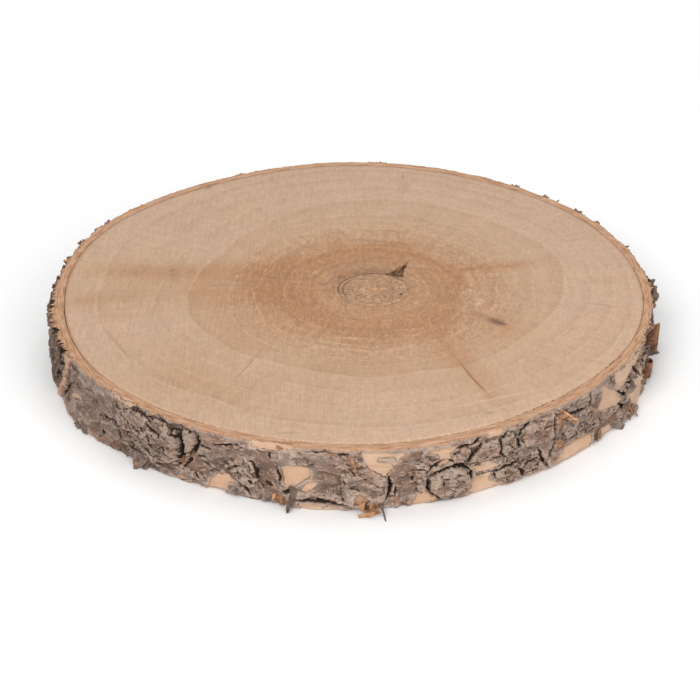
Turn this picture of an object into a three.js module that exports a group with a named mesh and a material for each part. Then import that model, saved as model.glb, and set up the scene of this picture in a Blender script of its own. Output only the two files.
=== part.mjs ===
// Wood slice: a round cross-cut of a birch trunk with its bark left on.
// Millimetres, +Z up. The origin is at the centre of the bounding box's base,
// so the lower sawn face lies on z = 0 and the upper one on z = THICKNESS.
// The slice grew as one piece, so it is one closed solid: two flat sawn faces
// joined by the bark's rough outer surface.
import * as THREE from "three";

// ---------------------------------------------------------------- dimensions
const THICKNESS = 30; // between the two sawn faces
const WOOD_RADIUS = 143; // mean radius of the wood under the bark
const RIM_BARK = 4.3; // bark thickness in the sawn faces
const SIDE_BARK = 5.4; // bark thickness on the side, before plates and furrows
const PLATE_RELIEF = 2.6; // how far a common bark plate stands out
const FURROW_DEPTH = 2.0; // how deep the gaps between plates run
const EDGE_DROP = 1.4; // height over which the bark swells out from a sawn edge
const CENTRE_X = -1.749; // moves the outline so that the bounding box is centred
const CENTRE_Y = 1.308;

const SEGMENTS = 288; // round the trunk
const LEVELS = [0, 1.4, 4, 7.5, 11, 15, 19, 22.5, 26, 28.6, 30];

// Out-of-round shape of the trunk: [lobes, cosine share, sine share].
const LOBES = [
  [2, -0.0061, 0.0046],
  [3, 0.0018, 0.0018],
  [4, 0.0044, -0.0024],
  [5, 0.003, 0.0013],
  [6, -0.0036, -0.002],
];

// Thick scales and rolled strips that stand out from the common plates.
// [angle in degrees, height above the base, half width along the bark,
//  half height, how far out]
const SCALES = [
  [186, 16, 26, 12, 2.2],
  [204, 14, 6, 14, 1.6],
  [232, 15, 15, 10, 3.4],
  [241, 20, 5, 6, 2.2],
  [251, 12, 8, 6, 1.8],
  [259.5, 3.5, 4, 3.5, 4.2],
  [264, 10, 14, 10, 1.6],
  [272, 10, 9, 9, 2.4],
  [273.5, 2.5, 6, 2.5, 4.6],
  [286.5, 10, 9, 7, 3.2],
  [293, 20, 8, 5, 2.2],
  [304, 16, 9, 10, 2.0],
  [312, 17, 9, 9, 2.6],
  [320, 4, 4, 4, 3.6],
  [327, 6, 7, 6, 3.0],
  [334, 5, 6, 5, 4.8],
  [346, 14, 7, 13, 5.4],
  [358, 20, 8, 9, 3.6],
  [14, 22, 6, 7, 3.4],
  [31, 18, 7, 8, 2.8],
  [47, 24, 8, 5, 3.6],
  [66, 20, 8, 7, 3.0],
  [84, 25, 9, 5, 2.2],
  [101, 24, 10, 5, 1.6],
  [118, 14, 12, 9, 2.4],
  [140, 16, 12, 9, 2.2],
  [158, 22, 10, 7, 2.4],
];

// ------------------------------------------------------------------ surfaces
const radians = (degrees) => (degrees * Math.PI) / 180;
const smooth = (t) => {
  const x = Math.min(1, Math.max(0, t));
  return x * x * (3 - 2 * x);
};

// A repeatable random number from 0 to 1 for a lattice point.
function chance(i, j, salt) {
  const x = Math.sin(i * 127.1 + j * 311.7 + salt * 74.7) * 43758.5453;
  return x - Math.floor(x);
}

function woodRadius(angle) {
  let share = 1;
  for (const [lobes, c, s] of LOBES)
    share += c * Math.cos(lobes * angle) + s * Math.sin(lobes * angle);
  return WOOD_RADIUS * share;
}

// Bark plates are the cells round scattered seeds. Returns the plate's own
// height from 0 to 1 and how near the point is to the furrow between plates.
const COLUMNS = 46;
const ROW_HEIGHT = 11;
function plates(angle, z) {
  const u = ((angle / (2 * Math.PI)) * COLUMNS + COLUMNS) % COLUMNS;
  const v = z / ROW_HEIGHT;
  let first = 1e9,
    second = 1e9,
    height = 0;
  for (let di = -2; di <= 2; di++)
    for (let dj = -2; dj <= 2; dj++) {
      const i = Math.floor(u) + di,
        j = Math.floor(v) + dj,
        k = (i + COLUMNS) % COLUMNS;
      const du = (i + 0.15 + 0.7 * chance(k, j, 1) - u) * 1.35,
        dv = (j + 0.15 + 0.7 * chance(k, j, 2) - v) * 1.0;
      const d = Math.hypot(du, dv);
      if (d < first) {
        second = first;
        first = d;
        height = chance(k, j, 3);
      } else if (d < second) second = d;
    }
  return { height, furrow: 1 - smooth((second - first) / 0.28) };
}

function barkThickness(angle, z) {
  const fromEdge = Math.min(z, THICKNESS - z);
  const swell = smooth(fromEdge / (EDGE_DROP * 2.4));
  const { height, furrow } = plates(angle, z);
  let out =
    RIM_BARK +
    (SIDE_BARK - RIM_BARK) * swell +
    swell * (PLATE_RELIEF * (height - 0.35) - FURROW_DEPTH * furrow);
  for (const [at, up, halfWidth, halfHeight, stands] of SCALES) {
    let turn = angle - radians(at);
    turn -= 2 * Math.PI * Math.round(turn / (2 * Math.PI));
    const a = Math.abs(turn * WOOD_RADIUS) / halfWidth,
      b = Math.abs(z - up) / halfHeight;
    const inside = 1 - Math.hypot(a, b);
    if (inside > 0) out += stands * smooth(inside * 2.2) * (0.25 + 0.75 * swell);
  }
  return Math.max(2.2, out);
}

// -------------------------------------------------------------------- solid
function sliceGeometry() {
  const points = [];
  const faces = [];
  for (const z of LEVELS)
    for (let i = 0; i < SEGMENTS; i++) {
      const angle = (i / SEGMENTS) * 2 * Math.PI;
      const r = woodRadius(angle) + barkThickness(angle, z);
      points.push(r * Math.cos(angle) + CENTRE_X, r * Math.sin(angle) + CENTRE_Y, z);
    }
  const at = (level, i) => level * SEGMENTS + (i % SEGMENTS);
  for (let level = 0; level + 1 < LEVELS.length; level++)
    for (let i = 0; i < SEGMENTS; i++) {
      const a = at(level, i),
        b = at(level, i + 1),
        c = at(level + 1, i + 1),
        d = at(level + 1, i);
      faces.push(a, b, c, a, c, d);
    }
  const top = LEVELS.length - 1;
  const low = points.length / 3;
  points.push(CENTRE_X, CENTRE_Y, 0, CENTRE_X, CENTRE_Y, THICKNESS);
  for (let i = 0; i < SEGMENTS; i++) {
    faces.push(low, at(0, i + 1), at(0, i));
    faces.push(low + 1, at(top, i), at(top, i + 1));
  }
  const geometry = new THREE.BufferGeometry();
  geometry.setAttribute("position", new THREE.Float32BufferAttribute(points, 3));
  geometry.setIndex(faces);
  geometry.computeVertexNormals();
  return geometry;
}

const slice = new THREE.Group();
const wood = new THREE.Mesh(
  sliceGeometry(),
  new THREE.MeshStandardMaterial({ color: 0xc8a482, roughness: 0.75, metalness: 0 }),
);
wood.name = "wood_slice";
slice.add(wood);

export default slice;
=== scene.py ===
import math

import bpy
import numpy as np
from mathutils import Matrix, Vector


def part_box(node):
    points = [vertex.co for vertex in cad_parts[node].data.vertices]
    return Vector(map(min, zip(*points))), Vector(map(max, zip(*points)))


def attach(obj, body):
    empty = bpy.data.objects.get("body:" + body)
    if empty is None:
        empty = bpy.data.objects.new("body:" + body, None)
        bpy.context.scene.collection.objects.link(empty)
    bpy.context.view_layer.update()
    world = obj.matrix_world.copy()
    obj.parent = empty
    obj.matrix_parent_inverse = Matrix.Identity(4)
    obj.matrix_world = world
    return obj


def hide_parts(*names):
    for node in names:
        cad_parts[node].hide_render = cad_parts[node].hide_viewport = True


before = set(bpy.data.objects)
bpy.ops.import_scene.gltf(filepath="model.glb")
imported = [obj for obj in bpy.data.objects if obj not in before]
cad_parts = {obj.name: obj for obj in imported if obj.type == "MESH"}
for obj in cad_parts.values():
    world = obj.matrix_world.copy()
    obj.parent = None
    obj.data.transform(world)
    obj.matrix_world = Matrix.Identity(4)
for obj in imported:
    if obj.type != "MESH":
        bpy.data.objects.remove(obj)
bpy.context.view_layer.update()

LOW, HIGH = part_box("wood_slice")

# ---------------------------------------------------------------- sizes, in mm
THICK = (HIGH[2] - LOW[2]) * 1000.0
MID_X = (HIGH[0] + LOW[0]) * 500.0 - 1.749  # pith side centre of the sawn face
MID_Y = (HIGH[1] + LOW[1]) * 500.0 + 1.308
WOOD = 143.0
ROUND = 2.0 * math.pi * 147.0  # length of the bark all the way round
DEG = ROUND / 360.0
LOBES = [(2, -0.0061, 0.0046), (3, 0.0018, 0.0018), (4, 0.0044, -0.0024), (5, 0.003, 0.0013), (6, -0.0036, -0.002)]
KNOT = (0.073 * WOOD, -0.020 * WOOD)


def wood_radius(deg):
    a = np.radians(deg)
    out = np.ones_like(a)
    for n, c, s in LOBES:
        out = out + c * np.cos(n * a) + s * np.sin(n * a)
    return WOOD * out


# ---------------------------------------------------------------- patterns
M32 = np.uint64(0xFFFFFFFF)


def hashed(i, j, salt):
    x = i.astype(np.uint64) * np.uint64(374761393) + j.astype(np.uint64) * np.uint64(668265263)
    x = (x + np.uint64((salt * 2654435761 + 97) % 4294967296)) & M32
    for m, k in ((2246822519, 15), (3266489917, 13), (668265263, 16)):
        x = (((x ^ (x >> np.uint64(k))) & M32) * np.uint64(m)) & M32
    return ((x ^ (x >> np.uint64(15))) & M32).astype(np.float64) / 4294967296.0


def perlin(u, v, nu, salt):
    i, j = np.floor(u).astype(np.int64), np.floor(v).astype(np.int64)
    fu, fv = u - i, v - j
    su, sv = fu ** 3 * (fu * (fu * 6 - 15) + 10), fv ** 3 * (fv * (fv * 6 - 15) + 10)

    def corner(di, dj):
        a = hashed((i + di) % nu, j + dj, salt) * 2.0 * np.pi
        return np.cos(a) * (fu - di) + np.sin(a) * (fv - dj)

    low = corner(0, 0) * (1 - su) + corner(1, 0) * su
    high = corner(0, 1) * (1 - su) + corner(1, 1) * su
    return 1.45 * (low * (1 - sv) + high * sv)


def noise(T, Z, wide, tall, octaves, salt, gain=0.5):
    """Smooth noise round the bark, about -1 to 1. wide and tall are the size of its largest patches in mm."""
    n = max(int(round(ROUND / wide)), 3)
    out, amp, total = 0.0, 1.0, 0.0
    for k in range(octaves):
        out = out + amp * perlin(T / 360.0 * n * 2 ** k, Z / tall * 2 ** k + 17.3 * k, n * 2 ** k, salt + 31 * k)
        total += amp
        amp *= gain
    return out / total


def ridged(T, Z, wide, tall, octaves, salt):
    n = max(int(round(ROUND / wide)), 3)
    out, amp, total = 0.0, 1.0, 0.0
    for k in range(octaves):
        out = out + amp * (1.0 - 2.2 * np.abs(perlin(T / 360.0 * n * 2 ** k, Z / tall * 2 ** k + 9.1 * k, n * 2 ** k, salt + 17 * k)))
        total += amp
        amp *= 0.55
    return out / total


def cells(T, Z, wide, tall, salt, lean=0.0):
    """Broken pieces of about wide by tall mm: nearness of the two closest seeds, two numbers of the piece's own and the offset from its seed in mm."""
    n = max(int(round(ROUND / wide)), 3)
    u, v = (T + lean * Z / DEG) / 360.0 * n, Z / tall
    i, j = np.floor(u).astype(np.int64), np.floor(v).astype(np.int64)
    one, two, own, other = np.full(u.shape, 9.0), np.full(u.shape, 9.0), np.zeros(u.shape), np.zeros(u.shape)
    dx, dy = np.zeros(u.shape), np.zeros(u.shape)
    for di in (-1, 0, 1):
        for dj in (-1, 0, 1):
            a, b = (i + di) % n, j + dj
            x = i + di + 0.08 + 0.84 * hashed(a, b, salt)
            y = j + dj + 0.08 + 0.84 * hashed(a, b, salt + 5)
            ax, ay = u - x, v - y
            d = np.hypot(ax, ay)
            near = d < one
            two = np.where(near, one, np.minimum(two, d))
            own = np.where(near, hashed(a, b, salt + 9), own)
            other = np.where(near, hashed(a, b, salt + 13), other)
            dx, dy = np.where(near, ax * wide, dx), np.where(near, ay * tall, dy)
            one = np.where(near, d, one)
    return two - one, own, other, dx, dy


def scales(T, Z, wide, tall, salt, rise, tilt, gap=0.18, lean=0.0):
    """Height of pieces that each sit and tip a little differently, and how far into a joint between them."""
    sep, own, other, dx, dy = cells(T, Z, wide, tall, salt, lean)
    h = rise * (own - 0.5) + tilt * ((other - 0.5) * dx + ((own * 7.31) % 1.0 - 0.5) * dy)
    return h, 1.0 - step(sep, 0.0, gap), own


def shingles(T, Z, wide, tall, salt, rise, tilt, lean=0.0):
    """Height of pieces that overlap like weathered tiles, with a sharp drop at every edge, and how near an edge."""
    sep, own, other, dx, dy = cells(T, Z, wide, tall, salt, lean)
    h = rise * (own - 0.5) + tilt * ((other - 0.15) * dx - ((own * 5.7) % 1.0 - 0.2) * dy)
    return h, 1.0 - step(sep, 0.0, 0.11), own


def step(x, a, b):
    t = np.clip((x - a) / (b - a), 0.0, 1.0)
    return t * t * (3.0 - 2.0 * t)


def bump(x, at, width):
    return np.exp(-((x - at) / width) ** 2)


def turned(T, at):
    return (T - at + 180.0) % 360.0 - 180.0 + at


# ---------------------------------------------------------------- what the bark shows
# Outlines are (degrees round, thousandths of the wood radius below the sawn face).
PEACH = [
    [(207.5, 140), (208.5, 128), (210.5, 112), (212.8, 105), (212.7, 117), (210.5, 136), (208.5, 144)],
    [(244.2, 212), (245.0, 178), (246.0, 153), (247.2, 139), (248.6, 141), (249.0, 156), (249.9, 166), (248.6, 170), (248.3, 200), (246.5, 206)],
    [(257.9, 80), (259.0, 72), (261.0, 66), (262.6, 68), (263.1, 84), (262.9, 104), (261.8, 118), (260.6, 136), (259.5, 149), (258.6, 135), (258.4, 105)],
    [(261.5, 150), (262.4, 124), (263.5, 118), (264.5, 122), (263.7, 136), (262.4, 150)],
    [(261.0, 192), (264.0, 194), (267.8, 197), (268.2, 216), (261.8, 216)],
    [(271.6, 12), (275.0, 12), (279.2, 16), (278.2, 32), (277.6, 47), (276.8, 29), (274.5, 29), (274.2, 44), (276.4, 47), (276.8, 66), (276.2, 78), (275.4, 97), (274.4, 86), (273.0, 70), (272.2, 48), (271.6, 36)],
    [(270.2, 186), (270.6, 150), (271.4, 148), (272.8, 170), (272.0, 190)],
    [(279.8, 204), (281.0, 167), (282.6, 160), (284.4, 182), (284.2, 200), (281.0, 212)],
    [(282.8, 19), (285.5, 14), (288.2, 26), (287.4, 34), (286.6, 46), (286.9, 62), (286.4, 74), (284.6, 76), (283.6, 70), (285.0, 62), (284.4, 40), (282.6, 30)],
    [(290.6, 106), (294.0, 104), (296.3, 132), (294.0, 137), (291.5, 134)],
    [(291.0, 149), (294.5, 147), (294.0, 170), (296.9, 204), (296.2, 216), (290.0, 214), (290.4, 170)],
    [(293.2, 12), (296.3, 13), (296.1, 25), (293.8, 24)],
    [(310.5, 160), (313.0, 147), (316.0, 155), (317.9, 167), (318.1, 200), (315.0, 216), (311.0, 214), (308.4, 206)],
    [(321.4, 28), (322.5, 27), (324.4, 56), (326.6, 82), (328.5, 123), (327.6, 139), (324.5, 127), (321.4, 117), (320.4, 96), (321.8, 64)],
    [(252.4, 2), (261.2, 2), (259.2, 13), (256.4, 19), (253.4, 20)],
    [(293.4, 2), (296.8, 2), (296.3, 21), (294.4, 19)],
    [(325.6, 12), (332.0, 12), (340.4, 6), (341.0, 26), (336.0, 40), (332.0, 58), (329.6, 88), (327.8, 84), (326.4, 44)],
    [(330.9, 132), (333.0, 108), (336.0, 92), (339.4, 84), (340.0, 120), (340.2, 190), (337.0, 216), (333.6, 196), (331.6, 158)],
    [(321.0, 172), (324.0, 179), (326.6, 196), (327.8, 214), (321.5, 214)],
    [(212.0, 214), (215.5, 202), (218.2, 204), (218.0, 214)],
    [(223.4, 6), (228.8, 8), (228.0, 20), (225.0, 19)],
    [(253.2, 10), (258.8, 12), (257.4, 23), (254.8, 25), (252.8, 21)],
    [(299.5, 204), (304.0, 198), (309.0, 207), (309.0, 216), (299.5, 216)],
    [(237.6, 194), (239.4, 190), (240.4, 199), (239.0, 206)],
]
TEAR = [  # orange-brown torn and curled edges
    [(238.5, 140), (239.8, 134), (240.4, 150), (239.4, 168), (238.4, 160)],
    [(240.8, 104), (241.8, 100), (241.6, 118), (240.9, 126)],
    [(257.4, 94), (258.5, 104), (258.3, 130), (257.4, 134)],
    [(257.0, 168), (258.6, 176), (259.0, 196), (258.0, 210), (257.2, 190)],
    [(276.9, 160), (278.0, 166), (278.0, 198), (276.8, 192)],
    [(289.6, 182), (290.8, 176), (290.8, 196), (289.4, 198)],
    [(308.8, 28), (310.2, 42), (310.9, 66), (309.9, 92), (309.1, 100)],
    [(308.4, 128), (310.1, 124), (309.9, 158), (309.2, 150)],
    [(309.4, 20), (310.6, 25), (314.2, 80), (313.2, 82), (311.6, 58)],
    [(318.8, 180), (320.4, 172), (321.0, 200), (320.8, 214), (319.4, 206)],
    [(294.6, 64), (295.9, 72), (295.6, 82), (294.6, 76)],
    [(300.4, 56), (302.4, 33), (302.9, 42), (301.3, 62)],
    [(220.3, 180), (221.7, 178), (221.6, 184), (220.4, 185)],
    [(229.2, 196), (231.8, 192), (232.6, 202), (230.0, 212)],
    [(269.8, 40), (270.7, 34), (271.0, 80), (270.2, 78)],
]
PLATE = [  # outline, how thick in mm, how rough from 0 to 1
    ([(224.5, 52), (227.0, 30), (231.0, 22), (236.0, 18), (238.2, 40), (239.0, 80), (238.6, 140), (236.5, 160), (233.0, 172), (230.0, 150), (226.5, 140), (224.8, 100)], 2.5, 0.62),
    ([(239.8, 22), (242.0, 26), (242.7, 60), (241.3, 92), (240.0, 108), (240.2, 70)], 2.4, 0.7),
    ([(247.8, 96), (249.4, 82), (252.0, 76), (253.6, 88), (254.0, 130), (253.2, 160), (251.4, 162), (249.4, 140), (248.2, 120)], 1.5, 0.5),
    ([(268.2, 88), (270.2, 68), (272.6, 64), (274.6, 86), (276.0, 104), (275.9, 150), (274.6, 192), (271.4, 204), (268.8, 190), (268.2, 150)], 1.7, 0.30),
    ([(283.0, 114), (284.4, 98), (287.0, 93), (289.4, 106), (290.4, 140), (290.0, 176), (288.0, 190), (285.4, 196), (283.6, 180), (282.9, 150)], 2.5, 0.62),
    ([(282.4, 104), (283.4, 79), (285.8, 70), (287.4, 76), (287.2, 88), (284.8, 92), (283.0, 105)], 1.5, 0.5),
    ([(287.2, 62), (288.8, 34), (290.6, 40), (290.2, 70), (288.6, 86), (287.4, 80)], 1.6, 0.6),
    ([(289.8, 88), (291.0, 52), (293.0, 30), (295.6, 34), (296.2, 60), (295.6, 92), (292.0, 100), (290.0, 100)], 1.8, 0.45),
    ([(296.2, 40), (297.6, 22), (299.2, 40), (299.4, 84), (297.4, 100), (296.2, 84)], 1.7, 0.55),
    ([(295.4, 152), (299.6, 142), (301.2, 160), (300.8, 200), (298.0, 196), (295.6, 180)], 1.2, 0.5),
    ([(301.5, 22), (307.7, 16), (308.0, 60), (307.9, 120), (306.6, 160), (305.4, 186), (303.6, 160), (301.8, 100), (300.8, 60)], 1.5, 0.35),
    ([(300.6, 150), (303.0, 140), (304.6, 170), (303.0, 200), (301.0, 190)], 1.5, 0.8),
    ([(310.4, 80), (312.6, 66), (318.0, 62), (320.0, 90), (320.2, 150), (316.0, 150), (313.0, 142), (310.2, 158)], 1.2, 0.6),
    ([(326.8, 98), (330.6, 84), (333.4, 62), (339.6, 44), (340.4, 70), (336.0, 92), (331.0, 116), (328.0, 150), (326.6, 130)], 1.2, 0.9),
    ([(356.5, 4), (359.0, 2), (362.0, 4), (365.5, 10), (364.0, 46), (360.0, 58), (357.0, 44)], 3.0, 1.0),
    ([(352.6, 8), (355.6, 10), (355.8, 44), (353.0, 40)], 2.6, 1.0),
    ([(341.0, 10), (345.5, 8), (346.0, 60), (344.0, 120), (341.4, 90)], 1.6, 1.0),
    ([(208.4, 36), (212.0, 20), (220.0, 20), (223.4, 40), (223.0, 100), (218.0, 150), (214.0, 196), (209.4, 190), (207.8, 160), (207.2, 100)], 0.9, 0.25),
    ([(219.6, 118), (224.4, 110), (224.6, 160), (222.0, 200), (218.6, 190)], 0.8, 0.3),
    ([(256.2, 34), (262.0, 24), (268.0, 26), (270.0, 60), (267.8, 92), (263.6, 62), (258.0, 58), (256.2, 60)], 0.8, 0.3),
    ([(260.0, 156), (261.6, 152), (264.0, 136), (268.0, 144), (269.5, 180), (268.6, 190), (261.0, 188)], 1.1, 0.45),
    ([(280.6, 60), (282.2, 18), (283.0, 60), (282.7, 120), (282.5, 172), (281.0, 160), (280.4, 100)], 1.4, 0.5),
    ([(245.0, 22), (250.0, 26), (252.0, 40), (248.0, 52), (245.4, 42)], 0.8, 0.5),
    ([(229.0, 170), (233.0, 176), (236.0, 186), (232.0, 204), (228.8, 200)], 0.8, 0.4),
    ([(314.0, 18), (317.2, 18), (317.4, 52), (314.4, 52)], 0.9, 0.5),
    ([(320.8, 134), (325.6, 136), (329.0, 168), (327.2, 196), (322.0, 166)], 0.9, 0.7),
]
CRACK = [  # line, half width and depth in mm
    ([(219.0, 112), (222.5, 104), (226.0, 108), (229.0, 106)], 0.7, 1.8),
    ([(220.3, 152), (220.8, 172)], 0.9, 2.0),
    ([(223.8, 30), (224.2, 48)], 0.5, 1.4),
    ([(225.2, 48), (227.6, 62), (229.2, 74), (230.8, 86), (230.4, 96)], 0.6, 2.0),
    ([(227.4, 60), (228.8, 100), (228.0, 128), (227.4, 150)], 0.55, 1.8),
    ([(225.4, 130), (226.2, 146), (228.6, 170), (228.4, 196)], 0.7, 1.8),
    ([(232.2, 42), (234.2, 56), (236.0, 80)], 0.6, 1.8),
    ([(231.4, 130), (233.0, 150), (235.6, 156)], 0.55, 1.6),
    ([(232.6, 80), (233.0, 120)], 0.45, 1.3), ([(235.4, 94), (236.4, 130)], 0.45, 1.2),
    ([(238.9, 40), (239.5, 80), (239.3, 120), (238.5, 160)], 1.4, 3.6),
    ([(236.8, 44), (239.4, 60), (240.6, 76)], 0.5, 1.6),
    ([(242.6, 20), (242.9, 58), (241.5, 100), (240.5, 136), (239.8, 164)], 0.9, 2.6),
    ([(242.8, 60), (245.2, 64)], 0.45, 1.3), ([(242.2, 108), (244.2, 98)], 0.4, 1.2), ([(243.8, 114), (245.2, 130)], 0.45, 1.2),
    ([(243.2, 160), (244.4, 184)], 0.35, 1.0), ([(242.0, 166), (242.8, 182)], 0.35, 1.0),
    ([(245.6, 46), (248.6, 35), (250.4, 26)], 0.6, 1.7),
    ([(248.3, 124), (249.4, 108), (250.4, 96)], 0.7, 1.8), ([(247.6, 96), (249.0, 100)], 0.5, 1.3),
    ([(253.0, 80), (253.6, 104), (254.0, 138)], 0.7, 1.8),
    ([(252.3, 142), (253.0, 150)], 0.9, 1.6),
    ([(250.0, 154), (251.8, 180), (252.6, 198)], 0.6, 1.7),
    ([(255.9, 30), (255.9, 52)], 0.45, 1.3),
    ([(257.2, 86), (257.9, 104), (257.7, 142)], 0.6, 1.8),
    ([(258.4, 166), (260.4, 146)], 0.8, 2.0), ([(255.0, 144), (256.8, 148)], 0.6, 1.0),
    ([(260.8, 180), (263.5, 175), (266.0, 177), (268.9, 186)], 1.25, 3.2),
    ([(264.6, 208), (265.8, 195), (266.8, 184)], 0.35, 1.1),
    ([(262.0, 13), (264.6, 9), (268.0, 17), (270.0, 14)], 0.6, 1.6),
    ([(269.6, 62), (270.6, 92)], 0.35, 1.0), ([(268.6, 96), (269.0, 122)], 0.3, 0.9),
    ([(276.1, 96), (276.3, 140), (275.7, 168)], 0.7, 2.6), ([(275.7, 168), (277.3, 164), (277.3, 134)], 0.5, 1.8),
    ([(279.2, 94), (280.2, 112), (280.9, 126)], 0.45, 1.2),
    ([(279.8, 82), (282.0, 80), (282.5, 98)], 0.4, 1.3), ([(277.6, 50), (280.0, 54)], 0.25, 0.5), ([(277.4, 104), (279.0, 106)], 0.25, 0.5),
    ([(282.5, 114), (283.6, 100), (286.0, 91), (288.2, 93), (289.7, 104), (290.6, 124), (290.7, 160), (290.0, 184)], 0.45, 2.2),
    ([(282.6, 114), (282.6, 150), (283.6, 184), (285.4, 200)], 0.6, 2.4),
    ([(282.1, 100), (283.2, 78), (285.6, 67), (287.6, 72)], 0.35, 1.6),
    ([(286.8, 82), (288.6, 92), (290.0, 84), (291.2, 56), (292.6, 34)], 0.55, 1.9), ([(287.2, 84), (289.6, 96)], 0.8, 2.4),
    ([(287.8, 28), (290.4, 30), (292.4, 12)], 0.5, 1.8),
    ([(282.6, 27), (285.0, 25), (287.8, 35)], 0.3, 0.8),
    ([(290.0, 98), (293.2, 98), (296.0, 98)], 0.4, 1.5),
    ([(290.8, 139), (294.5, 145), (298.4, 143), (301.0, 126)], 0.35, 1.4),
    ([(295.1, 150), (295.4, 174)], 0.35, 1.3),
    ([(296.1, 40), (296.2, 84), (297.2, 100)], 0.45, 1.6), ([(299.6, 56), (300.3, 90)], 0.9, 2.4),
    ([(300.0, 52), (300.7, 26), (302.4, 12)], 0.6, 2.0),
    ([(301.2, 152), (304.2, 147)], 0.35, 1.4), ([(299.9, 160), (301.2, 196), (302.0, 208)], 0.6, 1.9),
    ([(304.0, 114), (304.6, 140), (305.4, 170), (306.6, 198)], 0.75, 2.2),
    ([(308.4, 12), (308.3, 60), (308.6, 110), (308.0, 138), (306.2, 170)], 1.0, 3.2),
    ([(305.0, 50), (308.0, 52)], 0.3, 1.0), ([(303.6, 30), (304.4, 44)], 0.3, 0.9), ([(305.4, 42), (306.4, 30)], 0.3, 0.9),
    ([(311.0, 28), (312.8, 56), (316.6, 57)], 0.8, 2.4),
    ([(317.7, 12), (317.8, 62)], 0.7, 2.3),
    ([(309.8, 161), (313.4, 153), (317.2, 163)], 0.4, 1.6),
    ([(319.0, 168), (319.3, 196), (320.0, 212)], 1.0, 2.6),
    ([(326.8, 84), (328.8, 108), (330.2, 122), (332.4, 132)], 0.9, 2.6),
    ([(327.6, 140), (329.8, 166), (331.0, 178)], 1.1, 2.6),
    ([(333.2, 50), (334.2, 74), (336.8, 90)], 1.0, 2.6), ([(330.0, 84), (332.6, 94)], 0.5, 1.6),
    ([(341.4, 8), (341.4, 60), (341.6, 120), (341.8, 214)], 1.6, 3.0),
    ([(316.0, 84), (318.6, 78)], 0.4, 1.0), ([(317.8, 132), (319.0, 140)], 0.5, 1.3),
    ([(214.0, 176), (215.4, 192)], 0.6, 1.4), ([(209.6, 80), (208.2, 110)], 0.7, 1.6), ([(207.6, 30), (206.4, 120), (203.2, 190)], 0.8, 2.2),
    ([(213.4, 60), (216.8, 46)], 0.3, 0.7), ([(221.4, 62), (222.6, 84)], 0.3, 0.7),
]

rng = np.random.default_rng(184)


def random_outline(at, down, half_wide, half_tall, corners, rough):
    a = np.sort(rng.uniform(0, 2 * np.pi, corners))
    r = rng.uniform(1.0 - rough, 1.0 + 0.5 * rough, corners)
    return [(at + half_wide / DEG * c * k, down + half_tall / 0.143 * s * k) for c, s, k in zip(np.cos(a), np.sin(a), r)]


# The side turned away follows the same habit: plates, windows of peeled bark and cracks.
for _ in range(34):
    PLATE.append((random_outline(rng.uniform(-16, 166), rng.uniform(30, 190), rng.uniform(4, 11), rng.uniform(4, 9), 9, 0.35), rng.uniform(0.8, 2.3), rng.uniform(0.3, 1.0)))
for _ in range(22):
    PEACH.append(random_outline(rng.uniform(-12, 166), rng.choice([20, 60, 120, 180, 200]) + rng.uniform(-20, 20), rng.uniform(3, 9), rng.uniform(2, 6), 10, 0.5))
for _ in range(14):
    TEAR.append(random_outline(rng.uniform(-12, 166), rng.uniform(20, 200), rng.uniform(0.8, 2.2), rng.uniform(1.5, 4), 6, 0.4))
for _ in range(90):
    t, z, a, ln = rng.uniform(-18, 166), rng.uniform(14, 200), rng.choice([0.2, -0.3, 1.3, 1.7]) + rng.normal(0, 0.35), rng.uniform(3, 11)
    CRACK.append(([(t, z), (t + 0.5 * ln * math.cos(a) / DEG + rng.normal(0, 0.3), z + 0.5 * ln * math.sin(a) / 0.143 + rng.normal(0, 3)), (t + ln * math.cos(a) / DEG, z + ln * math.sin(a) / 0.143)], rng.uniform(0.35, 0.9), rng.uniform(1.0, 2.4)))
for _ in range(150):  # small dashes everywhere
    t, z, a, ln = rng.uniform(0, 360), rng.uniform(12, 206), rng.normal(0.1, 0.55), rng.uniform(1.2, 4.5)
    CRACK.append(([(t, z), (t + ln * math.cos(a) / DEG, z + ln * math.sin(a) / 0.143)], rng.uniform(0.18, 0.34), rng.uniform(0.35, 0.8)))


def near_table(T, Z, pts, reach):
    t = np.array([p[0] for p in pts])
    z = THICK - np.array([p[1] for p in pts]) * 0.143
    at = t.mean()
    S = turned(T, at) * DEG
    s = t * DEG
    sel = (S > s.min() - reach) & (S < s.max() + reach) & (Z > z.min() - reach) & (Z < z.max() + reach)
    return sel, S[sel], Z[sel], s, z


def inside_by(T, Z, pts, reach=4.0):
    """How far inside the outline each place is, in mm, and less than 0 outside."""
    out = np.full(T.shape, -reach)
    sel, S, H, s, z = near_table(T, Z, pts, reach)
    d = np.full(S.shape, 1e9)
    odd = np.zeros(S.shape, bool)
    for a in range(len(s)):
        b = (a + 1) % len(s)
        ex, ey = s[b] - s[a], z[b] - z[a]
        k = np.clip(((S - s[a]) * ex + (H - z[a]) * ey) / max(ex * ex + ey * ey, 1e-9), 0, 1)
        d = np.minimum(d, np.hypot(S - s[a] - k * ex, H - z[a] - k * ey))
        cross = (z[a] > H) != (z[b] > H)
        with np.errstate(divide="ignore", invalid="ignore"):
            odd ^= cross & (S < ex * (H - z[a]) / (z[b] - z[a]) + s[a])
    out[sel] = np.maximum(np.where(odd, d, -d), -reach)
    return out


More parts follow.
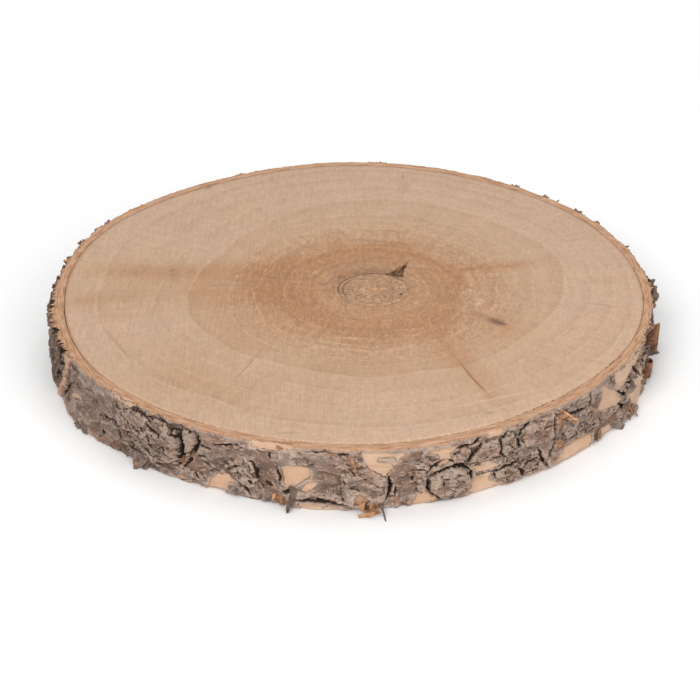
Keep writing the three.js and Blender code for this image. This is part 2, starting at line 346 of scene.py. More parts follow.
def along(T, Z, pts, reach):
    """Distance to a line in mm, and how far along it from 0 to 1."""
    out, far = np.full(T.shape, reach), np.zeros(T.shape)
    sel, S, H, s, z = near_table(T, Z, pts, reach)
    ln = np.hypot(np.diff(s), np.diff(z))
    run = np.concatenate([[0], np.cumsum(ln)])
    d, f = np.full(S.shape, reach), np.zeros(S.shape)
    for a in range(len(s) - 1):
        ex, ey = s[a + 1] - s[a], z[a + 1] - z[a]
        k = np.clip(((S - s[a]) * ex + (H - z[a]) * ey) / max(ex * ex + ey * ey, 1e-9), 0, 1)
        e = np.hypot(S - s[a] - k * ex, H - z[a] - k * ey)
        f = np.where(e < d, (run[a] + k * ln[a]) / run[-1], f)
        d = np.minimum(d, e)
    out[sel], far[sel] = d, f
    return out, far


# ---------------------------------------------------------------- the bark's surface
# how broken up the bark is round the slice
SHADE = [  # place, half size, then how much lighter, browner and smoother the bark is there
    (216.0, 60, 6.0, 60, 0.0, 0.10, 0.9), (221.0, 170, 5.0, 40, -0.05, 0.30, 0.8), (223.0, 60, 3.0, 45, -0.10, 0.25, 0.8),
    (227.0, 160, 2.2, 40, -0.45, 0.30, 0.0), (230.5, 175, 2.6, 30, 0.0, 0.50, 0.9), (232.5, 95, 2.0, 55, 0.15, 0.0, 0.35),
    (236.0, 100, 2.0, 50, 0.15, 0.0, 0.20), (236.3, 38, 1.0, 16, 0.50, 0.0, 0.8), (228.5, 60, 2.0, 40, -0.10, 0.20, 0.5),
    (236.0, 175, 2.6, 22, -0.15, 0.60, 0.9), (239.1, 92, 1.0, 60, -0.9, 0.4, 1.0), (241.0, 65, 1.2, 40, 0.10, 0.0, 0.6),
    (246.5, 55, 3.2, 35, -0.05, 0.70, 0.9), (242.5, 140, 2.4, 40, -0.10, 0.70, 0.5), (247.5, 105, 1.8, 25, -0.50, 0.50, 0.2),
    (251.0, 100, 2.2, 50, 0.30, 0.0, 0.3), (255.6, 90, 2.2, 75, -0.25, 0.80, 0.8), (254.5, 180, 2.6, 18, -0.10, 0.10, 0.8),
    (259.0, 45, 3.0, 25, 0.10, 0.10, 0.4), (266.0, 35, 3.8, 22, -0.30, 0.0, 0.8), (266.0, 90, 4.0, 36, 0.20, 0.40, 0.8),
    (265.0, 160, 5.0, 16, -0.30, 0.20, 0.4), (273.0, 120, 2.6, 55, 0.25, 0.0, 0.2), (275.8, 130, 0.9, 50, -0.80, 0.20, 0.4),
    (278.5, 110, 2.2, 75, -0.20, 0.80, 0.7), (281.8, 60, 0.8, 50, 0.15, 0.0, 0.2), (283.8, 80, 2.0, 25, 0.10, 0.0, 0.0),
    (286.5, 140, 3.2, 45, 0.15, 0.0, 0.0), (289.5, 50, 2.0, 35, -0.30, 0.40, 0.6), (292.5, 70, 2.6, 30, -0.35, 0.30, 0.4),
    (297.2, 60, 1.8, 45, -0.45, 0.30, 0.1), (300.8, 150, 2.0, 50, -0.20, 0.30, 0.0), (298.0, 120, 2.0, 14, 0.45, 0.0, 0.0),
    (301.6, 85, 1.6, 18, 0.40, 0.20, 0.0), (302.0, 125, 1.4, 9, 0.60, 0.20, 0.0), (305.4, 80, 2.0, 80, -0.05, 0.75, 0.95),
    (298.0, 180, 3.0, 25, -0.15, 0.40, 0.5), (303.0, 170, 2.0, 25, -0.20, 0.30, 0.0), (300.2, 40, 1.2, 40, -0.40, 0.20, 0.2),
    (309.4, 60, 0.9, 35, -0.20, 1.0, 0.5), (313.0, 110, 2.6, 40, 0.05, 0.0, 0.2), (312.5, 35, 2.2, 18, -0.55, 0.2, 0.3), (319.0, 90, 2.6, 50, -0.15, 0.75, 0.9),
    (309.0, 190, 2.0, 20, 0.0, 0.40, 0.95), (323.5, 150, 3.0, 30, -0.10, 0.50, 0.6), (326.0, 185, 2.5, 25, -0.10, 0.10, 0.6),
    (328.0, 170, 1.4, 18, -0.40, 0.80, 0.2), (331.0, 90, 3.0, 30, -0.50, 0.30, 0.0), (206.0, 110, 0.9, 80, -0.8, 0.2, 0.0), (211.2, 60, 0.8, 60, -0.5, 0.2, 0.0),
]
rnd_shade = np.random.RandomState(77)
for k in range(90):
    at_ = 352.0 + 208.0 * (k + rnd_shade.rand()) / 90.0
    SHADE.append((at_ % 360.0, 215 * rnd_shade.rand(), 1.2 + 2.6 * rnd_shade.rand(), 14 + 50 * rnd_shade.rand(), -0.5 + 0.9 * rnd_shade.rand(), 0.8 * rnd_shade.rand() ** 1.5, 0.9 * rnd_shade.rand()))


def shaded(T, Z, TT, ZZ):
    """Lighter, browner and smoother patches, with wandering outlines."""
    light, brown, even = np.zeros(T.shape), np.zeros(T.shape), np.zeros(T.shape)
    down = (THICK - ZZ) * 1000.0 / WOOD
    wob = 0.35 * noise(T, Z, 5.0, 4.0, 3, 270)
    for at, low, rt, rz, li, br, ev in SHADE:
        near = np.abs(turned(T[0], at) - at) < 1.6 * rt + 2.0
        d = np.hypot((turned(TT[:, near], at) - at) / rt, (down[:, near] - low) / rz) + wob[:, near]
        w = 1.0 - step(d, 0.72, 1.08)
        light[:, near] += w * (li - light[:, near])
        brown[:, near] += w * (br - brown[:, near])
        even[:, near] += w * (ev - even[:, near])
    return light, brown, even


WILD = np.array([(0, 0.8), (12, 0.6), (40, 0.35), (80, 0.5), (120, 0.3), (160, 0.6), (200, 0.30), (208, 0.08), (222, 0.12), (226, 0.75), (239, 0.75), (243, 0.28), (256, 0.28), (258, 0.05), (268, 0.10), (270, 0.25), (277, 0.05), (281, 0.15), (283, 0.40), (300, 0.42), (302, 0.12), (308, 0.15), (310, 0.22), (320, 0.30), (326, 0.45), (330, 0.9), (352, 0.9), (360, 0.8)]).T


def bark_field(T, Z):
    """For places at T degrees and Z mm up: how far the bark stands out from the wood, and the marks its colours follow."""
    front = 1.0 - step(np.abs(turned(T, 270.0) - 270.0), 52.0, 80.0)
    # every outline is looked up at a wandering place, so none is smooth
    TT = T + (0.9 * noise(T, Z, 5.5, 4.5, 2, 201) + 0.45 * noise(T, Z, 1.7, 1.5, 2, 202)) / DEG
    ZZ = Z + 0.75 * noise(T, Z, 5.0, 4.0, 2, 203) + 0.40 * noise(T, Z, 1.7, 1.4, 2, 204)
    chip = cells(TT, ZZ, 2.3, 1.5, 205)[1] - 0.5
    jag = 1.15 * chip + 0.30 * noise(T, Z, 1.2, 0.9, 2, 12)
    peach = np.full(T.shape, -4.0)
    for pts in PEACH:
        peach = np.maximum(peach, inside_by(0.6 * T + 0.4 * TT, 0.6 * Z + 0.4 * ZZ, pts))
    peach = peach + np.where(peach > -3.9, jag * (0.12 + 0.34 * step(noise(T, Z, 12.0, 8.0, 2, 14), -0.1, 0.4)), 0.0)
    plate, thick, rough = np.full(T.shape, -4.0), np.zeros(T.shape), np.zeros(T.shape)
    for n, (pts, mm, r) in enumerate(PLATE):
        sd = inside_by(TT, ZZ, pts)
        sd = sd + np.where(sd > -3.9, jag, 0.0)
        body = step(sd, -0.15, 0.30) * mm * (0.62 + 0.38 * step(sd, 0.2, 2.6))
        rough = np.where(body > thick, r * step(sd, -0.2, 0.4), rough)
        thick = np.maximum(thick, body)
        plate = np.maximum(plate, sd)
    # where it is rough all over
    wild = np.interp(T, WILD[0], WILD[1])
    wild = np.clip(wild + 0.30 * noise(T, Z, 14.0, 9.0, 2, 13), 0, 1)
    rough = np.maximum(rough, wild)
    shut = step(-peach, -0.16, 0.16)
    light, brown, even = shaded(T, Z, TT, ZZ)
    rough = rough * (1.0 - 0.75 * even)
    lean_at = 6.6 * np.clip(1 - Z / THICK, 0, 1) ** 1.15
    left = step(T + 9.0 * noise(T, Z, 30.0, 12.0, 2, 260), 150.0, 174.0) * (1.0 - step(T + lean_at, 205.0, 206.4))
    ridge = bump(T + lean_at + 0.5 * noise(T * 0, Z, 5.0, 5.0, 2, 271), 207.4, 1.25)
    # layers
    out = 3.65 + 0.75 * step(T, 256.0, 262.0) * (1 - step(T, 316.0, 326.0)) + 0.30 * noise(T, Z, 42.0, 40.0, 2, 3) + 0.05 * noise(T, Z, 7.0, 0.9, 2, 4)
    paper = 0.62 + 0.22 * noise(T, Z, 12.0, 7.0, 3, 5)
    sheets, painted_edge_shade_and_highlight, bright = np.zeros(T.shape), np.zeros(T.shape), np.zeros(T.shape)
    # each sheet's edge gets a painted shadow line just outside it and a painted highlight just inside it
    for k, (w, t_, cut) in enumerate(((17.0, 7.0, -0.05), (11.0, 4.5, 0.10), (8.0, 5.5, 0.22), (6.0, 2.6, 0.30))):
        f = noise(TT, ZZ, w, t_, 2, 220 + k) + 0.32 * (cells(TT, ZZ, 3.0, 1.5, 230 + k)[1] - 0.5)
        on = step(f, cut - 0.02, cut + 0.02)
        sheets = sheets + 0.30 * on + 0.22 * bump(f, cut + 0.035, 0.035)
        painted_edge_shade_and_highlight = np.maximum(painted_edge_shade_and_highlight, bump(f, cut - 0.025, 0.026))
        bright = np.maximum(bright, bump(f, cut + 0.025, 0.022))
    big, bigj, tone_a = shingles(TT, ZZ, 8.5, 4.0, 241, 0.8, 0.07)
    mid, midj, tone_b = shingles(TT, ZZ, 6.4, 3.1, 242, 1.0, 0.13, lean=0.5)
    tiny, tinyj, tone_c = shingles(TT, ZZ, 2.4, 1.4, 243, 0.5, 0.12, lean=-0.3)
    calm = 1.0 - rough
    out = out + shut * (paper + sheets * (0.60 + 0.15 * calm) * (1 - 0.4 * even))
    out = out + shut * calm * (0.38 * big + 0.06 * mid + 0.02 * tiny) * (1 - 0.55 * even)
    seam = step(noise(T, Z, 9.0, 6.0, 2, 244), -0.05, 0.30)
    seam = seam * (1.0 - 0.8 * even)
    out = out - shut * calm * 0.45 * bigj * seam
    out = out + shut * rough * (1.35 * big + 1.05 * mid + 0.22 * tiny + 0.06 * ridged(TT, ZZ, 3.4, 2.4, 3, 31))
    crazed = step(noise(T, Z, 7.0, 5.0, 2, 246), -0.15, 0.15)
    out = out - shut * rough * (0.8 * midj * crazed + 0.5 * bigj)
    out = out + shut * thick
    out = out + shut * 0.45 * np.clip(0.3 + noise(T, Z, 6.0, 5.0, 2, 7), 0, 1) * bump(peach, -0.5, 0.45)
    # deeply fissured strip and the tan ridge beside it
    tall, tallj, tone_d = scales(TT, ZZ, 4.4, 10.0, 245, 1.5, 0.14, gap=0.22)
    out = out + left * (1.35 + 1.9 * step(T, 172.0, 186.0) + tall + 0.75 * mid + 0.45 * tiny - 2.1 * tallj - 0.5 * midj)
    out = out + 2.1 * ridge
    # cracks
    deep, black = np.zeros(T.shape), np.zeros(T.shape)
    wob = 0.25 * noise(T, Z, 2.0, 1.6, 2, 51)
    for pts, w, mm in CRACK:
        d, f = along(TT, ZZ, pts, 3.0 * w + 1.2)
        taper = np.sqrt(np.clip(np.sin(np.pi * np.clip(f, 0.02, 0.98)), 0, 1))
        ww = w * (0.50 + 0.68 * taper) * (1.0 + (0.9 if w < 0.8 else 0.35) * chip)
        d = np.abs(d + np.where(d < 3.0 * w + 1.1, wob * min(w * 1.6, 1.0), 0.0))
        deep = np.maximum(deep, mm * taper * np.exp(-(d / ww) ** 2))
        black = np.maximum(black, taper * (1.0 - step(d, 0.30 * ww, 1.15 * ww)) * min(1.0, mm / 1.6))
    out = out - deep
    # the lowest part stands out a little further in places
    foot = 1.5 * bump(T, 211.0, 10.0) + bump(T, 264.0, 6.5) + 0.8 * bump(T, 312.0, 9.0) + bump(T, 329.0, 9.0) + 0.35 * front
    out = out + np.clip(foot, 0, 1.5) * 2.2 * (1 - step(Z, 1.0, 15.0)) + 1.1 * bump(T, 334.0, 6.0) + 0.8 * bump(T, 212.0, 9.0)
    black = np.maximum(black, shut * 0.95 * np.minimum(1.4 * rough, 1) * midj * crazed)
    black = np.maximum(black, shut * 0.30 * rough * tinyj * step(noise(T, Z, 4.0, 3.0, 2, 247), 0.15, 0.4))
    black = np.maximum(black, shut * 0.80 * rough * bigj * step(noise(T, Z, 11.0, 6.0, 2, 249), -0.1, 0.2))
    black = np.maximum(black, shut * 0.42 * calm * bigj * seam)
    # painted shadow along the outer side of each sheet's edge
    black = np.maximum(black, shut * 0.55 * painted_edge_shade_and_highlight * step(noise(T, Z, 6.0, 4.0, 2, 248), 0.0, 0.35))
    black = np.maximum(black, left * 0.95 * tallj)
    # a hollow behind the rolled piece on the right
    hollow = step(T, 341.0, 342.5) * (1 - step(T, 353.0, 356.0)) * step(Z, 2.0, 5.0) * (1 - step(Z, 25.5, 28.5))
    out = out * (1 - hollow) + np.minimum(out, 1.15 + 0.22 * tiny + 0.3 * tall) * hollow
    # the outer layers break off just short of the sawn faces, more so at the front
    nick = cells(T, Z * 0, 3.6, 9.0, 65)[1]
    short_top = front * (0.30 + 0.55 * noise(T, Z * 0, 9.0, 1.0, 3, 61) + 0.95 * nick) + (1 - front) * (0.05 + 0.9 * nick ** 3)
    short_low = 0.0 + 0.5 * nick ** 2 + 0.4 * np.clip(noise(T, Z * 0, 8.0, 1.0, 3, 62), 0, 1)
    keep = step(THICK - Z + 0.35 * chip, short_top - 0.22, short_top + 0.22) * step(Z + 0.35 * chip, short_low - 0.30, short_low + 0.30)
    bare = 1.75 + 0.45 * noise(T, Z * 0, 3.0, 1.0, 3, 63) + 0.30 * noise(T, Z * 0, 26.0, 1.0, 2, 64) + (1 - front) * 2.2
    bare = bare + np.minimum(0.85 * (THICK - Z), 1.9) * front + 0.25 * noise(TT, ZZ, 2.5, 1.2, 2, 66)
    bare = np.where(Z < THICK * 0.5, np.maximum(bare, 3.2 + 0.4 * noise(T, Z * 0, 3.0, 1.0, 3, 67)), bare)
    out = np.minimum(bare, out) * (1 - keep) + out * keep
    stands = step(ridge, 0.35, 0.75)
    out = np.maximum(out, 5.5 * stands)
    keep = np.maximum(keep, stands)
    torn = np.full(T.shape, -4.0)
    for pts in TEAR:
        torn = np.maximum(torn, inside_by(TT, ZZ, pts))
    torn = step(torn + jag * 0.8, -0.25, 0.35)
    # thin orange edge where the layers end at a window
    lip = bump(peach, -0.20, 0.24) * step(noise(T, Z, 5.0, 3.0, 2, 71), -0.05, 0.35)
    torn = np.maximum(torn, 0.7 * lip)
    light = light - 0.55 * step(Z, THICK - 3.0, THICK - 1.0) * keep * front
    tone = 0.5 * tone_a + 0.5 * tone_b
    grain = 0.5 * tone_c + 0.5 * tone_b
    black = black * (0.12 + 0.88 * keep) * (1.0 - 0.85 * step(ridge, 0.25, 0.6))
    left = np.maximum(left, 0.85 * shut * np.maximum(step(T, 340.5, 344.0), 1 - step(T, 8.0, 16.0)))
    # the sheet edge mark handed on is the painted highlight along each sheet's edge
    return dict(out=np.clip(out, 1.0, 9.4), peach=peach, rough=np.clip(rough + 0.25 * step(plate, -0.2, 0.6), 0, 1), black=np.clip(black, 0, 1), torn=torn, left=left, ridge=np.clip(ridge, 0, 1), tone=tone, grain=grain, painted_edge_shade_and_highlight=bright * shut * step(noise(T, Z, 5.0, 4.0, 2, 250), -0.1, 0.3), bare=(1 - keep) * step(Z, 3.0, 6.0), dim=-light, brown=brown)


def blurred(a, across, down):
    """A box blur, three times, that joins up round the ring."""
    for _ in range(3):
        k = across
        pad = np.concatenate([a[:, -k:], a, a[:, :k]], 1)
        c = np.cumsum(np.concatenate([np.zeros((a.shape[0], 1)), pad], 1), 1)
        a = (c[:, 2 * k + 1:] - c[:, :-2 * k - 1]) / (2 * k + 1)
        k = down
        pad = np.concatenate([np.repeat(a[:1], k, 0), a, np.repeat(a[-1:], k, 0)], 0)
        c = np.cumsum(np.concatenate([np.zeros((1, a.shape[1])), pad], 0), 0)
        a = (c[2 * k + 1:] - c[:-2 * k - 1]) / (2 * k + 1)
    return a


# ---------------------------------------------------------------- meshes
def to_mesh(name, co, quads, marks, uv=None, smooth=True):
    """co in mm from the middle of the sawn face, quads of four vertices (the last one may repeat the first three's last for a triangle)."""
    me = bpy.data.meshes.new(name)
    co = co.copy()
    co[:, 0] += MID_X
    co[:, 1] += MID_Y
    tri = quads[:, 3] < 0
    count = np.where(tri, 3, 4)
    start = np.concatenate([[0], np.cumsum(count)[:-1]])
    flat = quads.ravel()
    flat = flat[flat >= 0]
    me.vertices.add(len(co))
    me.vertices.foreach_set("co", (co * 0.001).astype(np.float32).ravel())
    me.loops.add(len(flat))
    me.loops.foreach_set("vertex_index", flat.astype(np.int32))
    me.polygons.add(len(quads))
    me.polygons.foreach_set("loop_start", start.astype(np.int32))
    me.polygons.foreach_set("use_smooth", np.full(len(quads), smooth))
    for key, val in marks.items():
        layer = me.attributes.new(key, "FLOAT", "POINT")
        layer.data.foreach_set("value", val.astype(np.float32).ravel())
    if uv is not None:
        layer = me.uv_layers.new(name="OFBake")
        layer.data.foreach_set("uv", uv.astype(np.float32).ravel())
    me.update(calc_edges=True)
    me.validate()
    ob = bpy.data.objects.new(name, me)
    bpy.context.scene.collection.objects.link(ob)
    return ob


def ring_gap(deg):
    """Width of the dark gap between wood and bark."""
    g = 0.7 * step(deg, 140.0, 150.0) * (1.0 - step(deg, 205.0, 222.0))
    n = noise(deg, deg * 0, 22.0, 1.0, 3, 81)
    return 0.10 + g * (0.36 + 0.42 * n) + 0.16 * step(deg, 222, 236) * (1 - step(deg, 244, 262))


def build_bark():
    cols, side, rim, under, wall = 2050, 70, 7, 5, 3
    deg = np.arange(cols) * 360.0 / cols
    base = wood_radius(deg)
    gap = np.clip(0.85 * ring_gap(deg), 0.08, 0.9)
    v = np.linspace(0, 1, side)
    top_z = THICK - 0.12 - 0.30 * np.clip(noise(deg, deg * 0, 4.0, 1.0, 3, 91), 0, 1)
    low_z = 0.05 + 1.5 * cells(deg, deg * 0, 5.0, 9.0, 92)[1] ** 2 + 0.5 * np.clip(noise(deg, deg * 0, 2.0, 1.0, 2, 93), 0, 1)
    Z = top_z[None, :] * (1 - v[:, None]) + low_z[None, :] * v[:, None]
    Z = Z + 0.0
    T = np.repeat(deg[None, :], side, 0)
    f = bark_field(T, Z)
    out = f["out"]
    # how far each place sits below its surroundings at three sizes, for painted shade in creases, hollows and under
    # plates and a painted highlight on crests
    crease = blurred(out, 1, 1) - out
    cav = blurred(out, 4, 4) - out
    wide = blurred(out, 12, 12) - out
    # rows of the closed section: wall up, sawn rim outwards, side down, lower rim inwards
    KEYS = ("peach", "rough", "black", "torn", "left", "ridge", "tone", "grain", "painted_edge_shade_and_highlight", "bare", "dim", "brown")
    R, H, marks = [], [], {k: [] for k in KEYS + ("rim", "cav", "wide", "away", "crease")}

    def row(r, z, fields, rim_mark):
        R.append(base + r)
        H.append(z)
        for k in KEYS:
            marks[k].append(fields[k] if k in fields else np.zeros(cols))
        marks["rim"].append(np.full(cols, rim_mark))
        marks["away"].append(r + THICK - z)
        marks["cav"].append(fields.get("cav", np.zeros(cols)))
        marks["wide"].append(fields.get("wide", np.zeros(cols)))
        marks["crease"].append(fields.get("crease", np.zeros(cols)))

    bare = {"peach": np.full(cols, 2.0)}
    row(-0.6 * np.ones(cols), np.full(cols, 3.0), bare, 1.0)
    row(-0.6 * np.ones(cols), THICK - 3.2 + 0 * deg, bare, 1.0)
    row(gap * 0.9, THICK - 2.6 + 0 * deg, {**bare, "black": np.ones(cols) * 0.55}, 1.0)
    first = {k: f[k][0] for k in KEYS}
    for k in range(rim):
        q = k / rim
        r = gap + (out[0] - gap) * q
        layer = 0.16 * noise(deg + 0.3 * k, deg * 0 + 3.1 * k, 7.0, 1.0, 4, 95)
        z = THICK - 0.12 - (THICK - 0.12 - top_z) * q ** 2 + layer * (0.3 + q) - 0.12 * (k == 0)
        row(r, z, {**bare, "peach": np.full(cols, 2.0), "black": 0.5 * np.clip(noise(deg + 0.2 * k, deg * 0 + 1.7 * k, 6.0, 1.0, 3, 96) - 0.15, 0, 1) + 0.55 * (k == 0) * step(gap, 0.25, 0.5), "bare": np.full(cols, 1.0)}, 0.5)
    for k in range(side):
        fields = {m: f[m][k] for m in KEYS}
        fields["cav"], fields["wide"], fields["crease"] = cav[k], wide[k], crease[k]
        row(out[k], Z[k], fields, 0.0)
    for k in range(1, under + 1):
        q = 1 - k / (under + 0.5)
        row(0.2 + (out[-1] - 0.2) * q, low_z * q ** 2, bare, 1.0)
    R, H = np.array(R), np.array(H)
    rows = len(R)
    # a little sideways wander so that edges are not ruled
    swing = 0.30 * noise(np.repeat(deg[None], rows, 0), H, 3.0, 2.2, 2, 99) / DEG
    lev = np.zeros((rows, 1))
    lev[wall + rim:wall + rim + side] = 1.0
    A = np.radians(deg[None, :] + swing * lev)
    co = np.stack([R * np.cos(A), R * np.sin(A), H], -1)
    marks = {k: np.array(m) for k, m in marks.items()}
    # how far along the section each row is; the hidden wall takes almost no room on the map
    step_mm = np.zeros(rows + 1)
    for k in range(rows):
        n = (k + 1) % rows
        d = float(np.hypot(R[n] - R[k], H[n] - H[k]).mean())
        step_mm[k + 1] = step_mm[k] + (min(d, 0.35) if (k < wall - 1 or k >= rows - 1) else d)
    vv = step_mm / step_mm[-1]

    def part(name, first_col, last_col, strips):
        """One stretch of the ring, closed at both ends, mapped as strips."""
        idx = np.arange(first_col, last_col + 1) % cols
        wide_n = len(idx)
        cell = wide_n - 1
        pts = co[:, idx].reshape(-1, 3)
        i = np.arange(cell)
        per = -(-cell // strips)
        strip = i // per
        u0, u1 = (i - strip * per) / per, (i + 1 - strip * per) / per
        ua, ub = 0.004 + 0.988 * u0, 0.004 + 0.988 * u1
        quads, uv = [], []
        for k in range(rows):
            n = (k + 1) % rows
            quads.append(np.stack([k * wide_n + i, n * wide_n + i, n * wide_n + i + 1, k * wide_n + i + 1], 1))
            va = (strip + 0.02 + 0.96 * vv[k]) / strips
            vb = (strip + 0.02 + 0.96 * vv[k + 1]) / strips
            uv.append(np.stack([np.stack([ua, va], 1), np.stack([ua, vb], 1), np.stack([ub, vb], 1), np.stack([ub, va], 1)], 1).reshape(-1, 2))
        # the two hidden ends, each a fan round a point inside the section
        k = np.arange(rows)
        nk = (k + 1) % rows
        centre_pts = []
        for end, col in enumerate((0, wide_n - 1)):
            c = int(idx[col])
            ang, rr = math.radians(deg[c]), base[c] + 0.2
            centre_pts.append([rr * math.cos(ang), rr * math.sin(ang), 15.0])
            mid_i = rows * wide_n + end
            q = [k * wide_n + col, nk * wide_n + col] if end else [nk * wide_n + col, k * wide_n + col]
            quads.append(np.stack([np.full(rows, mid_i)] + q + [np.full(rows, -1)], 1))
            x0 = 0.9935 + 0.003 * end
            order = (k, nk) if end else (nk, k)

            def flat(rows_at):
                return np.stack([x0 + 0.0028 * np.clip((R[rows_at, c] - base[c] + 1.0) / 11.0, 0, 1), 0.02 + 0.96 * H[rows_at, c] / 31.0], 1)

            mid_uv = np.tile([[x0 + 0.0003, 0.5]], (rows, 1))
            uv.append(np.stack([mid_uv, flat(order[0]), flat(order[1])], 1).reshape(-1, 2))
        pts = np.concatenate([pts, np.array(centre_pts)])
        own = {key: np.concatenate([m[:, idx].ravel(), np.zeros(2)]) for key, m in marks.items()}
        return to_mesh(name, pts, np.concatenate(quads), own, np.concatenate(uv))

    near, far = int(round(168.0 / 360.0 * cols)), int(round(12.0 / 360.0 * cols))
    ob = [part("bark_front", near, far + cols, 4), part("bark_back", far, near, 3)]
    return ob, (deg, Z, out)


# Growth rings: (quarter degrees round the knot, eight-hundredths of 1.04 of the way to the bark)
RINGS = [
    [(0, 92), (400, 90), (800, 96), (1200, 94)],
    [(0, 120), (330, 116), (560, 112), (800, 114), (1100, 118)],
    [(0, 152), (330, 146), (560, 138), (800, 136), (1100, 146)],
    [(0, 200), (200, 185), (330, 190), (430, 180), (560, 172), (680, 160), (800, 165), (1000, 178), (1200, 182)],
    [(0, 242), (200, 222), (330, 228), (430, 220), (560, 198), (680, 188), (800, 196), (1000, 208), (1200, 222), (1350, 238)],
    [(0, 285), (90, 278), (210, 260), (330, 268), (430, 262), (520, 235), (640, 215), (760, 222), (880, 238), (1040, 240), (1200, 262), (1300, 275), (1380, 280)],
    [(0, 350), (80, 372), (190, 350), (330, 358), (450, 345), (540, 300), (650, 285), (760, 300), (900, 310), (1010, 300), (1150, 322), (1300, 345)],
    [(0, 455), (80, 480), (180, 450), (330, 460), (420, 430), (540, 380), (620, 340), (760, 360), (860, 385), (1000, 370), (1120, 375), (1180, 400), (1300, 425)],
    [(0, 545), (80, 575), (200, 555), (320, 548), (400, 530), (500, 480), (610, 430), (680, 450), (780, 472), (900, 460), (980, 445), (1060, 460), (1140, 460), (1190, 490), (1300, 500), (1380, 520)],
    [(0, 630), (80, 658), (150, 652), (230, 640), (330, 630), (440, 600), (500, 570), (600, 515), (700, 532), (780, 555), (830, 535), (880, 540), (960, 520), (1050, 535), (1130, 540), (1200, 560), (1300, 570), (1380, 600)],
    [(0, 690), (80, 705), (150, 702), (330, 700), (440, 665), (600, 600), (690, 615), (790, 640), (870, 610), (940, 590), (1050, 600), (1150, 622), (1250, 640), (1350, 668)],
    [(0, 740), (150, 752), (260, 742), (440, 730), (600, 690), (700, 682), (790, 692), (840, 674), (880, 682), (940, 662), (990, 690), (1050, 690), (1110, 702), (1250, 722), (1350, 732)],
    [(0, 800), (720, 800)],
]


def periodic(table, x):
    t = np.array(table, float)
    a = np.concatenate([t[-1:, 0] - 1440, t[:, 0], t[:1, 0] + 1440])
    b = np.concatenate([t[-1:, 1], t[:, 1], t[:1, 1]])
    return np.interp(x, a, b)


